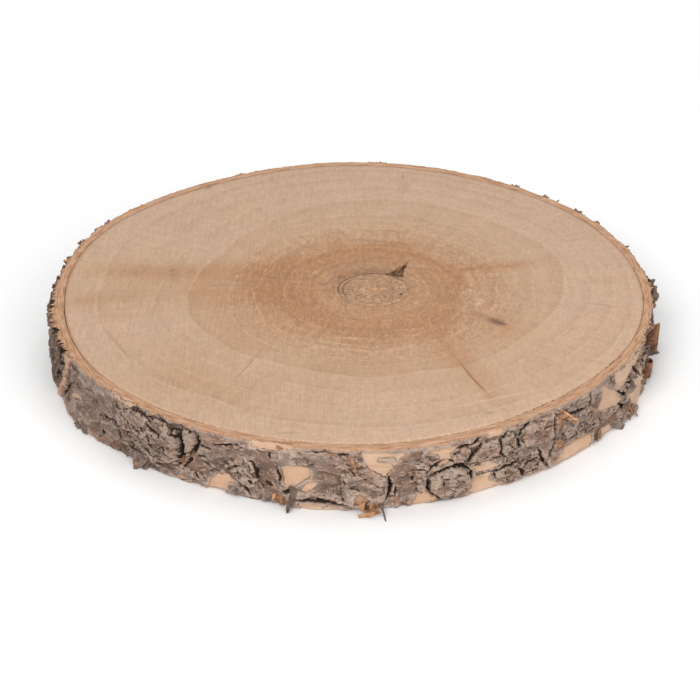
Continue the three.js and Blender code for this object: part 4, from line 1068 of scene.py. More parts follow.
class Nodes:
    def __init__(self, name):
        self.mat = bpy.data.materials.new(name)
        self.mat.use_nodes = True
        self.t = self.mat.node_tree
        self.t.nodes.clear()
        self.out = self.t.nodes.new("ShaderNodeOutputMaterial")
        self.bsdf = self.t.nodes.new("ShaderNodeBsdfPrincipled")
        self.t.links.new(self.bsdf.outputs[0], self.out.inputs["Surface"])

    def put(self, socket, value):
        if isinstance(value, bpy.types.NodeSocket):
            self.t.links.new(value, socket)
        else:
            socket.default_value = value

    def attr(self, name):
        n = self.t.nodes.new("ShaderNodeAttribute")
        n.attribute_name = name
        return n.outputs["Fac"]

    def place(self):
        return self.t.nodes.new("ShaderNodeTexCoord").outputs["Object"]

    def math(self, op, a, b=0.0, c=0.0, clamp=False):
        n = self.t.nodes.new("ShaderNodeMath")
        n.operation, n.use_clamp = op, clamp
        self.put(n.inputs[0], a)
        self.put(n.inputs[1], b)
        self.put(n.inputs[2], c)
        return n.outputs[0]

    def vec(self, op, a, b=(0, 0, 0), scale=None):
        n = self.t.nodes.new("ShaderNodeVectorMath")
        n.operation = op
        self.put(n.inputs[0], a)
        if scale is not None:
            self.put(n.inputs["Scale"], scale)
        elif op not in ("NORMALIZE", "LENGTH"):
            self.put(n.inputs[1], b)
        return n.outputs["Value"] if op in ("LENGTH", "DOT_PRODUCT") else n.outputs["Vector"]

    def noise(self, v, scale, detail=3.0, rough=0.55, warp=0.0):
        n = self.t.nodes.new("ShaderNodeTexNoise")
        self.put(n.inputs["Vector"], v)
        n.inputs["Scale"].default_value = scale
        n.inputs["Detail"].default_value = detail
        n.inputs["Roughness"].default_value = rough
        n.inputs["Distortion"].default_value = warp
        return n.outputs["Fac"]

    def voronoi(self, v, scale, feature="F1", out="Distance"):
        n = self.t.nodes.new("ShaderNodeTexVoronoi")
        n.feature = feature
        self.put(n.inputs["Vector"], v)
        n.inputs["Scale"].default_value = scale
        return n.outputs[out]

    def span(self, v, a, b, c=0.0, d=1.0, smooth=True):
        n = self.t.nodes.new("ShaderNodeMapRange")
        n.interpolation_type = "SMOOTHSTEP" if smooth else "LINEAR"
        n.clamp = True
        self.put(n.inputs["Value"], v)
        for k, x in zip(("From Min", "From Max", "To Min", "To Max"), (a, b, c, d)):
            self.put(n.inputs[k], x)
        return n.outputs["Result"]

    def mix(self, f, a, b, mode="MIX"):
        n = self.t.nodes.new("ShaderNodeMix")
        n.data_type, n.blend_type, n.clamp_factor = "RGBA", mode, True
        self.put(n.inputs[0], f)
        self.put(n.inputs[6], a)
        self.put(n.inputs[7], b)
        return n.outputs[2]

    def shade(self, colour, factor):
        """Colour times a number from nodes."""
        n = self.t.nodes.new("ShaderNodeVectorMath")
        n.operation = "SCALE"
        self.put(n.inputs[0], colour)
        self.put(n.inputs["Scale"], factor)
        return n.outputs["Vector"]

    def bump(self, height, distance, strength=1.0):
        n = self.t.nodes.new("ShaderNodeBump")
        n.inputs["Strength"].default_value = strength
        n.inputs["Distance"].default_value = distance
        self.put(n.inputs["Height"], height)
        self.t.links.new(n.outputs[0], self.bsdf.inputs["Normal"])


BARK_MARKS = ("peach", "rough", "black", "torn", "left", "ridge", "tone", "grain", "painted_edge_shade_and_highlight", "bare", "rim", "cav", "wide", "away", "crease", "dim", "brown")


def layered_bark(m, p, striped, peach, rough, black, torn, left, ridge, tone, grain, painted_edge_shade_and_highlight, bare, rim, cav, wide, away, crease, dim, brown):
    """Colour and relief of bark from its marks."""
    fine = m.noise(p, 1000, 4, 0.65)
    mid = m.noise(p, 300, 4, 0.65)
    big = m.noise(p, 60, 3, 0.55)
    lines = m.noise(striped, 300, 4, 0.65)
    # papery brown-grey layer
    paper = m.mix(m.span(big, 0.38, 0.62), lin(166, 136, 118), lin(152, 137, 129))
    paper = m.mix(m.span(tone, 0.15, 0.85, 0.0, 0.75), paper, lin(178, 162, 152))
    paper = m.mix(m.span(tone, 0.30, 0.05, 0.0, 0.65), paper, lin(140, 110, 93))
    paper = m.mix(m.math("MULTIPLY", m.span(lines, 0.48, 0.68), 0.42), paper, lin(118, 96, 84))
    paper = m.mix(m.math("MULTIPLY", m.span(fine, 0.60, 0.72), 0.55), paper, lin(190, 172, 160))
    # rough grey plates
    grey = m.mix(m.span(mid, 0.38, 0.62), lin(118, 97, 84), lin(152, 136, 125))
    grey = m.mix(m.span(grain, 0.2, 0.9, 0.0, 0.70), grey, lin(170, 154, 143))
    grey = m.mix(m.span(grain, 0.30, 0.05, 0.0, 0.60), grey, lin(112, 84, 68))
    grey = m.mix(m.math("MULTIPLY", m.span(fine, 0.52, 0.68), 0.50), grey, lin(86, 70, 61))
    grey = m.mix(m.math("MULTIPLY", m.span(fine, 0.34, 0.24), 0.70), grey, lin(202, 182, 166))
    col = m.mix(rough, paper, grey)
    stained = m.span(m.noise(m.vec("ADD", p, (0.7, 0.2, 0.4)), 120, 3, 0.6), 0.52, 0.68)
    col = m.mix(m.math("MULTIPLY", stained, 0.42), col, lin(142, 106, 83))
    pallid = m.span(m.noise(m.vec("ADD", p, (0.1, 0.9, 0.2)), 330, 3, 0.6), 0.63, 0.71)
    col = m.mix(m.math("MULTIPLY", pallid, 0.50), col, lin(200, 186, 175))
    tanned = m.mix(m.span(mid, 0.36, 0.64), lin(150, 118, 98), lin(166, 132, 111))
    tanned = m.mix(m.math("MULTIPLY", m.span(lines, 0.48, 0.68), 0.45), tanned, lin(118, 88, 71))
    col = m.mix(m.math("MULTIPLY", brown, 0.70), col, tanned)
    col = m.shade(col, m.span(dim, -1.0, 1.0, 1.36, 0.52, smooth=False))
    # dark fissured strip
    dark = m.mix(m.span(grain, 0.2, 0.9), lin(60, 45, 37), lin(106, 87, 76))
    dark = m.mix(m.math("MULTIPLY", m.span(fine, 0.50, 0.66), 0.6), dark, lin(52, 40, 34))
    col = m.mix(m.math("MULTIPLY", left, 0.85), col, dark)
    # tan ridge
    tan = m.mix(m.span(mid, 0.35, 0.65), lin(204, 167, 137), lin(172, 134, 106))
    col = m.mix(m.span(ridge, 0.35, 0.7), col, tan)
    # peeled windows
    glow = m.mix(m.span(big, 0.38, 0.62), lin(222, 194, 170), lin(216, 182, 153))
    glow = m.mix(m.math("MULTIPLY", m.span(lines, 0.48, 0.70), 0.50), glow, lin(202, 154, 120))
    glow = m.mix(m.math("MULTIPLY", m.span(fine, 0.60, 0.74), 0.35), glow, lin(186, 146, 118))
    glow = m.mix(m.math("MULTIPLY", m.span(m.noise(striped, 120, 3, 0.6), 0.52, 0.70), 0.40), glow, lin(226, 198, 176))
    edge = m.math("ADD", peach, m.math("MULTIPLY", m.math("SUBTRACT", m.noise(p, 1300, 3, 0.6), 0.5), 0.8))
    window = m.span(edge, -0.08, 0.08)
    veil = m.math("MULTIPLY", m.span(peach, -3.2, -0.2), m.span(m.noise(p, 110, 2, 0.5), 0.48, 0.62))
    col = m.mix(m.math("MULTIPLY", veil, 0.55), col, lin(198, 172, 156))
    # painted highlight along the lit side of each sheet's edge
    col = m.mix(m.math("MULTIPLY", painted_edge_shade_and_highlight, 0.55), col, lin(204, 176, 156))
    col = m.mix(window, col, glow)
    # torn orange edges
    rust = m.mix(m.span(mid, 0.38, 0.62), lin(184, 136, 101), lin(144, 102, 75))
    rust = m.mix(m.math("MULTIPLY", m.span(lines, 0.48, 0.68), 0.60), rust, lin(112, 76, 54))
    tornness = m.span(m.math("ADD", torn, m.math("MULTIPLY", m.math("SUBTRACT", fine, 0.5), 0.9)), 0.42, 0.62)
    col = m.mix(m.math("MULTIPLY", tornness, 0.80), col, rust)
    # inner bark laid bare just under the sawn edge, in long splinters
    heading = m.vec("NORMALIZE", m.vec("MULTIPLY", m.vec("SUBTRACT", p, (MID_X * 0.001, MID_Y * 0.001, 0)), (1, 1, 0)))
    outward = m.t.nodes.new("ShaderNodeCombineXYZ")
    m.put(outward.inputs[2], m.math("MULTIPLY", away, 1.25))
    splint = m.noise(m.vec("ADD", m.vec("SCALE", heading, scale=17.0), outward.outputs[0]), 1.0, 4, 0.62)
    husk = m.mix(m.span(splint, 0.40, 0.60), lin(218, 182, 152), lin(192, 146, 112))
    husk = m.mix(m.math("MULTIPLY", m.span(splint, 0.58, 0.70), 0.7), husk, lin(150, 106, 78))
    bared = m.span(m.math("ADD", bare, m.math("MULTIPLY", m.math("SUBTRACT", splint, 0.5), 1.0)), 0.18, 0.42)
    col = m.mix(bared, col, husk)
    # sawn rim
    cut = m.mix(m.span(splint, 0.40, 0.60), lin(208, 167, 134), lin(184, 142, 110))
    cut = m.mix(m.math("MULTIPLY", m.span(splint, 0.57, 0.68), 0.50), cut, lin(138, 100, 76))
    cut = m.mix(m.math("MULTIPLY", m.span(fine, 0.38, 0.28), 0.50), cut, lin(214, 178, 148))
    col = m.mix(m.span(rim, 0.4, 0.8), col, cut)
    # painted shade in hollows, under plates and in creases, and painted highlight on crests
    free = m.math("MAXIMUM", m.math("MULTIPLY", window, 0.85), m.math("MULTIPLY", bared, 0.85))
    # painted shade in hollows and under plates, and painted highlight on crests, kept off the windows and the bared
    # inner bark
    painted_hollow_shade_and_crest_highlight = m.math("MULTIPLY", m.span(cav, -0.55, 0.70, 1.16, 0.50, smooth=False), m.span(wide, -1.1, 1.5, 1.08, 0.66, smooth=False))
    col = m.shade(col, m.math("ADD", m.math("MULTIPLY", painted_hollow_shade_and_crest_highlight, m.math("SUBTRACT", 1.0, free)), free))
    closed = m.math("SUBTRACT", 1.0, free)
    # painted highlight on crests, weaker on the dark strip
    painted_crest_highlight = m.math("MULTIPLY", m.math("MULTIPLY", m.span(crease, -0.05, -0.22), m.span(mid, 0.35, 0.55, 0.3, 1.0)), m.span(left, 0.0, 0.8, 1.0, 0.25))
    col = m.mix(m.math("MULTIPLY", m.math("MULTIPLY", painted_crest_highlight, closed), 0.50), col, lin(204, 184, 168))
    # painted shade in creases, which goes into the dark ink together with the black mark
    sharp = m.math("MULTIPLY", m.math("MULTIPLY", m.span(crease, 0.08, 0.28), closed), m.math("MULTIPLY", m.math("MULTIPLY", m.span(rough, 0.05, 0.60, 0.22, 0.62), m.span(ridge, 0.2, 0.6, 1.0, 0.2)), m.span(peach, -1.3, -0.5, 1.0, 0.15)))
    ink = m.span(m.math("ADD", m.math("ADD", black, sharp), m.math("MULTIPLY", m.math("SUBTRACT", mid, 0.5), 0.7)), 0.26, 0.72)
    col = m.mix(m.math("MULTIPLY", ink, 0.92), col, lin(44, 32, 26))
    relief = m.math("ADD", m.math("MULTIPLY", mid, 0.8), m.math("MULTIPLY", fine, 0.40))
    relief = m.math("ADD", relief, m.math("MULTIPLY", lines, 0.40))
    damp = m.math("MULTIPLY", relief, m.span(window, 0.0, 1.0, 1.0, 0.30))
    # painted shade: the bark darkened towards its left side and a little towards its right, with a slightly darker band
    # on the left; windows and bared inner bark are left out
    east = m.vec("DOT_PRODUCT", p, (1, 0, 0))
    side = m.math("MULTIPLY", m.span(east, -0.145, -0.020, 0.86, 1.0), m.span(east, 0.05, 0.12, 1.0, 0.95))
    side = m.math("MULTIPLY", side, m.math("ADD", 1.0, m.math("MULTIPLY", m.math("MULTIPLY", m.span(east, -0.125, -0.100), m.span(east, -0.045, -0.070)), -0.045)))
    col = m.shade(col, m.math("ADD", m.math("MULTIPLY", side, closed), m.math("MULTIPLY", free, 1.0)))
    return m.shade(m.vec("MULTIPLY", col, (1.0, 0.945, 0.900)), TONE), damp, fine


def bark_material():
    m = Nodes("bark")
    p = m.place()
    striped = m.vec("MULTIPLY", p, (0.35, 0.35, 2.6))
    col, relief, fine = layered_bark(m, p, striped, *[m.attr(k) for k in BARK_MARKS])
    m.put(m.bsdf.inputs["Base Color"], col)
    m.put(m.bsdf.inputs["Roughness"], m.span(fine, 0.3, 0.7, 0.78, 0.97))
    m.bsdf.inputs["Specular IOR Level"].default_value = 0.25
    m.bump(relief, 0.0006, 1.0)
    return m.mat


def curl_material():
    m = Nodes("bark_curl")
    p = m.place()
    fine, mid = m.noise(p, 900, 4, 0.6), m.noise(p, 260, 4, 0.6)
    lines = m.noise(m.vec("MULTIPLY", p, (0.35, 0.35, 2.6)), 300, 4, 0.62)
    tone, inner, edge = m.attr("tone"), m.attr("inner"), m.attr("edge")
    rust = m.mix(m.span(mid, 0.38, 0.62), lin(190, 143, 108), lin(136, 98, 72))
    rust = m.mix(m.math("MULTIPLY", m.span(lines, 0.46, 0.66), 0.7), rust, lin(92, 64, 47))
    grey = m.mix(m.span(mid, 0.38, 0.62), lin(112, 94, 84), lin(154, 137, 126))
    grey = m.mix(m.math("MULTIPLY", m.span(fine, 0.50, 0.66), 0.6), grey, lin(74, 60, 52))
    grey = m.mix(m.math("MULTIPLY", m.span(fine, 0.36, 0.26), 0.6), grey, lin(196, 178, 164))
    grey = m.mix(m.span(tone, 0.80, 0.50, 0.0, 0.6), grey, lin(96, 77, 66))
    col = m.mix(m.span(tone, 0.15, 0.35), rust, grey)
    roll = m.mix(m.span(mid, 0.36, 0.64), lin(176, 126, 90), lin(122, 84, 60))
    roll = m.mix(m.math("MULTIPLY", m.span(lines, 0.46, 0.66), 0.75), roll, lin(84, 56, 41))
    col = m.mix(m.span(tone, 1.1, 1.3), col, roll)
    bright = m.mix(m.span(mid, 0.38, 0.62), lin(220, 168, 124), lin(184, 134, 96))
    col = m.mix(m.span(tone, 0.10, 0.05), col, bright)
    col = m.mix(m.math("MULTIPLY", inner, m.span(tone, 0.42, 0.55, 0.60, 0.30)), col, m.mix(m.span(mid, 0.4, 0.6), lin(172, 126, 94), lin(112, 80, 60)))
    col = m.mix(m.math("MULTIPLY", m.math("MULTIPLY", edge, m.span(mid, 0.45, 0.6)), m.span(tone, 0.42, 0.55, 0.40, 0.18)), col, lin(204, 162, 128))
    m.put(m.bsdf.inputs["Base Color"], m.shade(col, TONE))
    m.put(m.bsdf.inputs["Roughness"], m.span(fine, 0.3, 0.7, 0.72, 0.95))
    m.bsdf.inputs["Specular IOR Level"].default_value = 0.25
    m.bump(m.math("ADD", m.math("MULTIPLY", mid, 0.8), m.math("MULTIPLY", lines, 0.6)), 0.0009, 1.0)
    return m.mat


def wood_material():
    m = Nodes("sawn_wood")
    p = m.place()
    kx, ky = (MID_X + KNOT[0]) * 0.001, (MID_Y + KNOT[1]) * 0.001
    q = m.vec("MULTIPLY", m.vec("SUBTRACT", p, (kx, ky, 0)), (1, 1, 0))
    rad = m.vec("LENGTH", q)
    way = m.vec("NORMALIZE", q)
    along_x, along_y = m.vec("DOT_PRODUCT", p, (1, 0, 0)), m.vec("DOT_PRODUCT", p, (0, 1, 0))

    def rays(count, slow, salt, detail=4):
        z = m.math("MULTIPLY_ADD", rad, slow, salt)
        n = m.t.nodes.new("ShaderNodeCombineXYZ")
        m.put(n.inputs[2], z)
        return m.noise(m.vec("ADD", m.vec("SCALE", way, scale=count), n.outputs[0]), 1.0, detail, 0.6)

    ring, stain, hole, crack, inside = (m.attr(k) for k in ("ring", "stain", "hole", "crack", "inside"))
    broad = m.noise(p, 14, 3, 0.5)
    mottle = m.noise(p, 70, 4, 0.6)
    blotch = m.noise(p, 34, 4, 0.62)
    speck = m.noise(p, 1250, 3, 0.65)
    wide_rays = rays(7.0, 8.0, 3.0)
    fine_rays = rays(30.0, 14.0, 11.0)
    stain = m.math("ADD", stain, m.math("MULTIPLY", m.math("SUBTRACT", wide_rays, 0.5), 0.30))
    stain = m.math("ADD", stain, m.math("MULTIPLY", m.math("SUBTRACT", fine_rays, 0.5), 0.22))
    stain = m.math("ADD", stain, m.math("MULTIPLY", m.math("SUBTRACT", blotch, 0.5), 0.34))
    # every year's growth took the stain a little differently
    year_no = m.math("FLOOR", ring)
    hue = m.math("FRACT", m.math("MULTIPLY", m.math("SINE", m.math("MULTIPLY", year_no, 12.9)), 43.7))
    stain = m.math("ADD", stain, m.math("MULTIPLY", m.math("SUBTRACT", hue, 0.5), 0.14))
    ramp = m.t.nodes.new("ShaderNodeValToRGB")
    e = ramp.color_ramp.elements
    e[0].position, e[0].color = 0.0, lin(207, 174, 147)
    e[1].position, e[1].color = 1.0, lin(182, 135, 97)
    for at, c in ((0.25, lin(202, 167, 137)), (0.55, lin(194, 152, 118)), (0.80, lin(188, 143, 106))):
        k = e.new(at)
        k.color = c
    m.put(ramp.inputs[0], stain)
    col = ramp.outputs[0]
    # growth rings: a darker band closing each year and a thin pale line after it
    year = m.math("FRACT", m.math("ADD", ring, m.math("MULTIPLY", m.math("SUBTRACT", m.noise(p, 90, 2, 0.5), 0.5), 0.10)))
    late = m.span(year, 0.45, 0.97)
    pale = m.math("MAXIMUM", m.span(year, 0.09, 0.0), m.span(year, 0.965, 1.0))
    col = m.mix(m.math("MULTIPLY", late, m.span(wide_rays, 0.35, 0.65, 0.04, 0.20)), col, lin(164, 121, 90))
    col = m.mix(m.math("MULTIPLY", pale, m.span(rays(13, 12, 9.0), 0.38, 0.62, 0.05, 0.36)), col, lin(222, 190, 160))
    # rays and pores
    col = m.shade(col, m.span(rays(46.0, 26.0, 0.0), 0.28, 0.72, 0.965, 1.035, smooth=False))
    col = m.shade(col, m.span(blotch, 0.3, 0.7, 0.985, 1.015, smooth=False))
    col = m.shade(col, m.span(speck, 0.30, 0.70, 0.955, 1.045, smooth=False))
    # saw marks: fine and nearly straight across the left half, slanting towards the far left edge
    left = m.span(along_x, 0.045, -0.045)
    slant = m.span(m.math("SUBTRACT", along_y, m.math("MULTIPLY", along_x, 1.1)), 0.115, 0.160)
    drift = m.math("MULTIPLY", m.math("SUBTRACT", m.noise(p, 18, 2, 0.5), 0.5), 0.006)
    across = m.math("ADD", m.math("ADD", along_x, m.math("MULTIPLY", along_y, 0.025)), drift)
    comb = m.math("SINE", m.math("MULTIPLY", across, 2 * math.pi / 0.00142))
    comb2 = m.math("SINE", m.math("MULTIPLY", m.math("ADD", m.math("MULTIPLY", along_x, 0.80), m.math("MULTIPLY", along_y, 0.60)), 2 * math.pi / 0.0017))
    comb = m.math("ADD", m.math("MULTIPLY", comb, m.math("SUBTRACT", 1.0, slant)), m.math("MULTIPLY", comb2, slant))
    patchy = m.span(m.noise(m.vec("MULTIPLY", p, (1.0, 0.30, 1)), 46, 3, 0.6), 0.36, 0.62)
    hair = m.noise(m.vec("MULTIPLY", p, (1.0, 0.03, 0)), 1150, 3, 0.7)
    strength = m.math("MULTIPLY_ADD", left, 0.80, 0.20)
    scored = m.math("MULTIPLY", m.math("ADD", m.math("MULTIPLY", m.math("MULTIPLY", comb, patchy), 0.022), m.math("MULTIPLY", m.math("SUBTRACT", hair, 0.5), 0.42)), strength)
    col = m.shade(col, m.math("ADD", scored, 1.0))
    # pale stipple where the blade only scuffed the grain
    scuffed = m.math("MULTIPLY", m.span(m.math("SUBTRACT", along_x, m.math("MULTIPLY", along_y, 0.5)), -0.03, 0.06), m.span(m.noise(p, 30, 3, 0.6), 0.36, 0.60, 0.35, 1.0))
    dots = m.math("MULTIPLY", m.span(m.noise(p, 1700, 2, 0.6), 0.53, 0.66), scuffed)
    col = m.mix(m.math("MULTIPLY", dots, 0.46), col, lin(228, 197, 167))
    pits = m.math("MULTIPLY", m.span(m.noise(m.vec("ADD", p, (0.31, 0.17, 0.0)), 1100, 2, 0.6), 0.55, 0.67), m.span(scuffed, 0.0, 1.0, 0.35, 1.0))
    col = m.mix(m.math("MULTIPLY", pits, 0.28), col, lin(160, 118, 88))
    col = m.mix(m.math("MULTIPLY", m.math("MULTIPLY", m.span(m.noise(p, 900, 2, 0.6), 0.64, 0.74), m.span(blotch, 0.50, 0.62)), 0.55), col, lin(232, 204, 178))
    # knot
    knot = m.span(m.math("ADD", rad, m.math("MULTIPLY", m.math("SUBTRACT", mottle, 0.5), 0.003)), 0.0178, 0.0168)
    kring = m.math("FRACT", m.math("MULTIPLY", m.math("ADD", rad, m.math("MULTIPLY", mottle, 0.004)), 400))
    kcol = m.mix(m.span(m.noise(p, 620, 4, 0.68), 0.38, 0.62), lin(160, 120, 90), lin(198, 157, 123))
    kcol = m.mix(m.math("MULTIPLY", m.span(kring, 0.5, 0.9), 0.22), kcol, lin(140, 103, 79))
    kcol = m.mix(m.math("MULTIPLY", m.span(m.noise(p, 1050, 2, 0.6), 0.53, 0.64), 0.65), kcol, lin(220, 186, 154))
    kcol = m.mix(m.span(rad, 0.0042, 0.0010, 0.0, 0.40), kcol, lin(196, 136, 94))
    col = m.mix(m.math("MULTIPLY", knot, 0.85), col, kcol)
    wander = m.math("MULTIPLY", m.math("SUBTRACT", m.noise(p, 120, 3, 0.6), 0.5), 0.0016)
    r2 = m.math("ADD", rad, wander)
    bound = m.math("MULTIPLY", m.span(r2, 0.0164, 0.0172), m.span(r2, 0.0184, 0.0175))
    arc = m.vec("DOT_PRODUCT", way, (-0.30, 0.95, 0))
    col = m.mix(m.math("MULTIPLY", bound, m.span(arc, -0.5, 0.9, 0.18, 0.80)), col, lin(104, 74, 58))
    second = m.math("MULTIPLY", m.span(r2, 0.0146, 0.0151), m.span(r2, 0.0160, 0.0154))
    col = m.mix(m.math("MULTIPLY", second, m.span(m.vec("DOT_PRODUCT", way, (-0.97, 0.24, 0)), 0.55, 0.95, 0.0, 0.65)), col, lin(104, 80, 66))
    around = m.math("MULTIPLY", m.span(rad, 0.0172, 0.0182), m.span(rad, 0.0300, 0.0190))
    col = m.mix(m.math("MULTIPLY", m.math("MULTIPLY", around, m.span(arc, -0.1, 1.0, 0.0, 0.62)), m.span(m.noise(p, 420, 3, 0.65), 0.36, 0.58, 0.35, 1.0)), col, lin(134, 98, 78))
    # pocket, cracks and small marks
    thread = m.noise(m.vec("MULTIPLY", m.vec("SUBTRACT", p, ((MID_X + 0.10 * WOOD) * 0.001, (MID_Y + 0.04 * WOOD) * 0.001, 0)), (1.0, 0.55, 1)), 640, 3, 0.65)
    col = m.mix(m.math("MULTIPLY", m.span(hole, 0.10, 0.70), m.span(thread, 0.40, 0.60, 0.35, 0.92)), col, lin(76, 51, 39))
    col = m.mix(m.math("MULTIPLY", m.span(crack, 0.10, 0.80), 0.62), col, lin(132, 84, 55))
    # the outer edge: a thin orange line, dark specks to the right and pale ones in front
    fray = m.math("ADD", inside, m.math("MULTIPLY", m.math("SUBTRACT", m.noise(p, 500, 3, 0.6), 0.5), 1.6))
    col = m.mix(m.span(fray, 0.75, 0.15, 0.0, 0.55), col, lin(172, 122, 88))
    rimband = m.math("MULTIPLY", m.span(inside, 2.6, 0.6), m.span(m.noise(p, 760, 2, 0.6), 0.54, 0.66))
    south = m.span(along_y, -0.105, -0.135)
    col = m.mix(m.math("MULTIPLY", m.math("MULTIPLY", rimband, south), 0.60), col, lin(236, 210, 184))
    east = m.math("MULTIPLY", m.span(along_x, 0.055, 0.070), m.span(along_x, 0.135, 0.115))
    east = m.math("MULTIPLY", east, m.span(along_y, -0.05, -0.07))
    dotted = m.math("MULTIPLY", m.span(inside, 1.1, 0.4), m.span(m.noise(p, 560, 2, 0.6), 0.52, 0.62))
    col = m.mix(m.math("MULTIPLY", m.math("MULTIPLY", dotted, east), 0.80), col, lin(96, 66, 50))
    # painted light: lighter towards the near side and darker towards the far side. Below that, lighter towards the near
    # right
    col = m.shade(col, m.span(along_y, 0.14, -0.14, 0.975, 1.018, smooth=False))
    col = m.shade(col, m.span(m.math("SUBTRACT", along_x, m.math("MULTIPLY", along_y, 0.8)), 0.06, 0.17, 1.0, 1.045))
    col = m.shade(col, m.span(mottle, 0.30, 0.70, 0.975, 1.025, smooth=False))
    heart = m.span(rad, 0.082, 0.056, 0.38, 1.0)
    grainy = m.noise(m.vec("MULTIPLY", p, (1.0, 0.45, 1.0)), 620, 4, 0.72)
    col = m.shade(col, m.math("ADD", 1.0, m.math("MULTIPLY", m.math("MULTIPLY", m.math("SUBTRACT", grainy, 0.5), 1.20), heart)))
    turned_rad = m.t.nodes.new("ShaderNodeCombineXYZ")
    m.put(turned_rad.inputs[0], m.math("ADD", rad, m.math("MULTIPLY", mottle, 0.006)))
    bands = m.noise(m.vec("ADD", turned_rad.outputs[0], m.vec("SCALE", p, scale=0.05)), 420, 4, 0.7)
    col = m.shade(col, m.math("ADD", 1.0, m.math("MULTIPLY", m.math("MULTIPLY", m.math("SUBTRACT", bands, 0.5), 0.58), heart)))
    stipple = m.noise(m.vec("ADD", p, (0.2, 0.5, 0.0)), 1500, 2, 0.6)
    col = m.shade(col, m.span(stipple, 0.30, 0.70, 0.925, 1.078, smooth=False))
    foxed = m.math("MULTIPLY", m.span(m.noise(m.vec("ADD", p, (0.6, 0.3, 0.0)), 210, 4, 0.7), 0.54, 0.66), heart)
    col = m.mix(m.math("MULTIPLY", foxed, 0.34), col, lin(176, 125, 85))

    grit = m.noise(p, 780, 3, 0.65)

    def spot(x, y, long, wide, turn, colour, amount, soft=0.6, flecked=False):
        c, s = math.cos(math.radians(turn)), math.sin(math.radians(turn))
        d = m.vec("SUBTRACT", p, ((MID_X + x * WOOD) * 0.001, (MID_Y + y * WOOD) * 0.001, 0))
        u = m.math("DIVIDE", m.vec("DOT_PRODUCT", d, (c, s, 0)), long * 0.001)
        v = m.math("DIVIDE", m.vec("DOT_PRODUCT", d, (-s, c, 0)), wide * 0.001)
        r = m.math("SQRT", m.math("ADD", m.math("MULTIPLY", u, u), m.math("MULTIPLY", v, v)))
        r = m.math("ADD", r, m.math("MULTIPLY", m.math("SUBTRACT", mottle, 0.5), 0.5))
        much = m.span(r, 1.0, 1.0 - soft, 0.0, amount)
        if flecked:
            much = m.math("MULTIPLY", much, m.span(grit, 0.47, 0.60, 0.05, 1.0))
        return m.mix(much, col, colour)

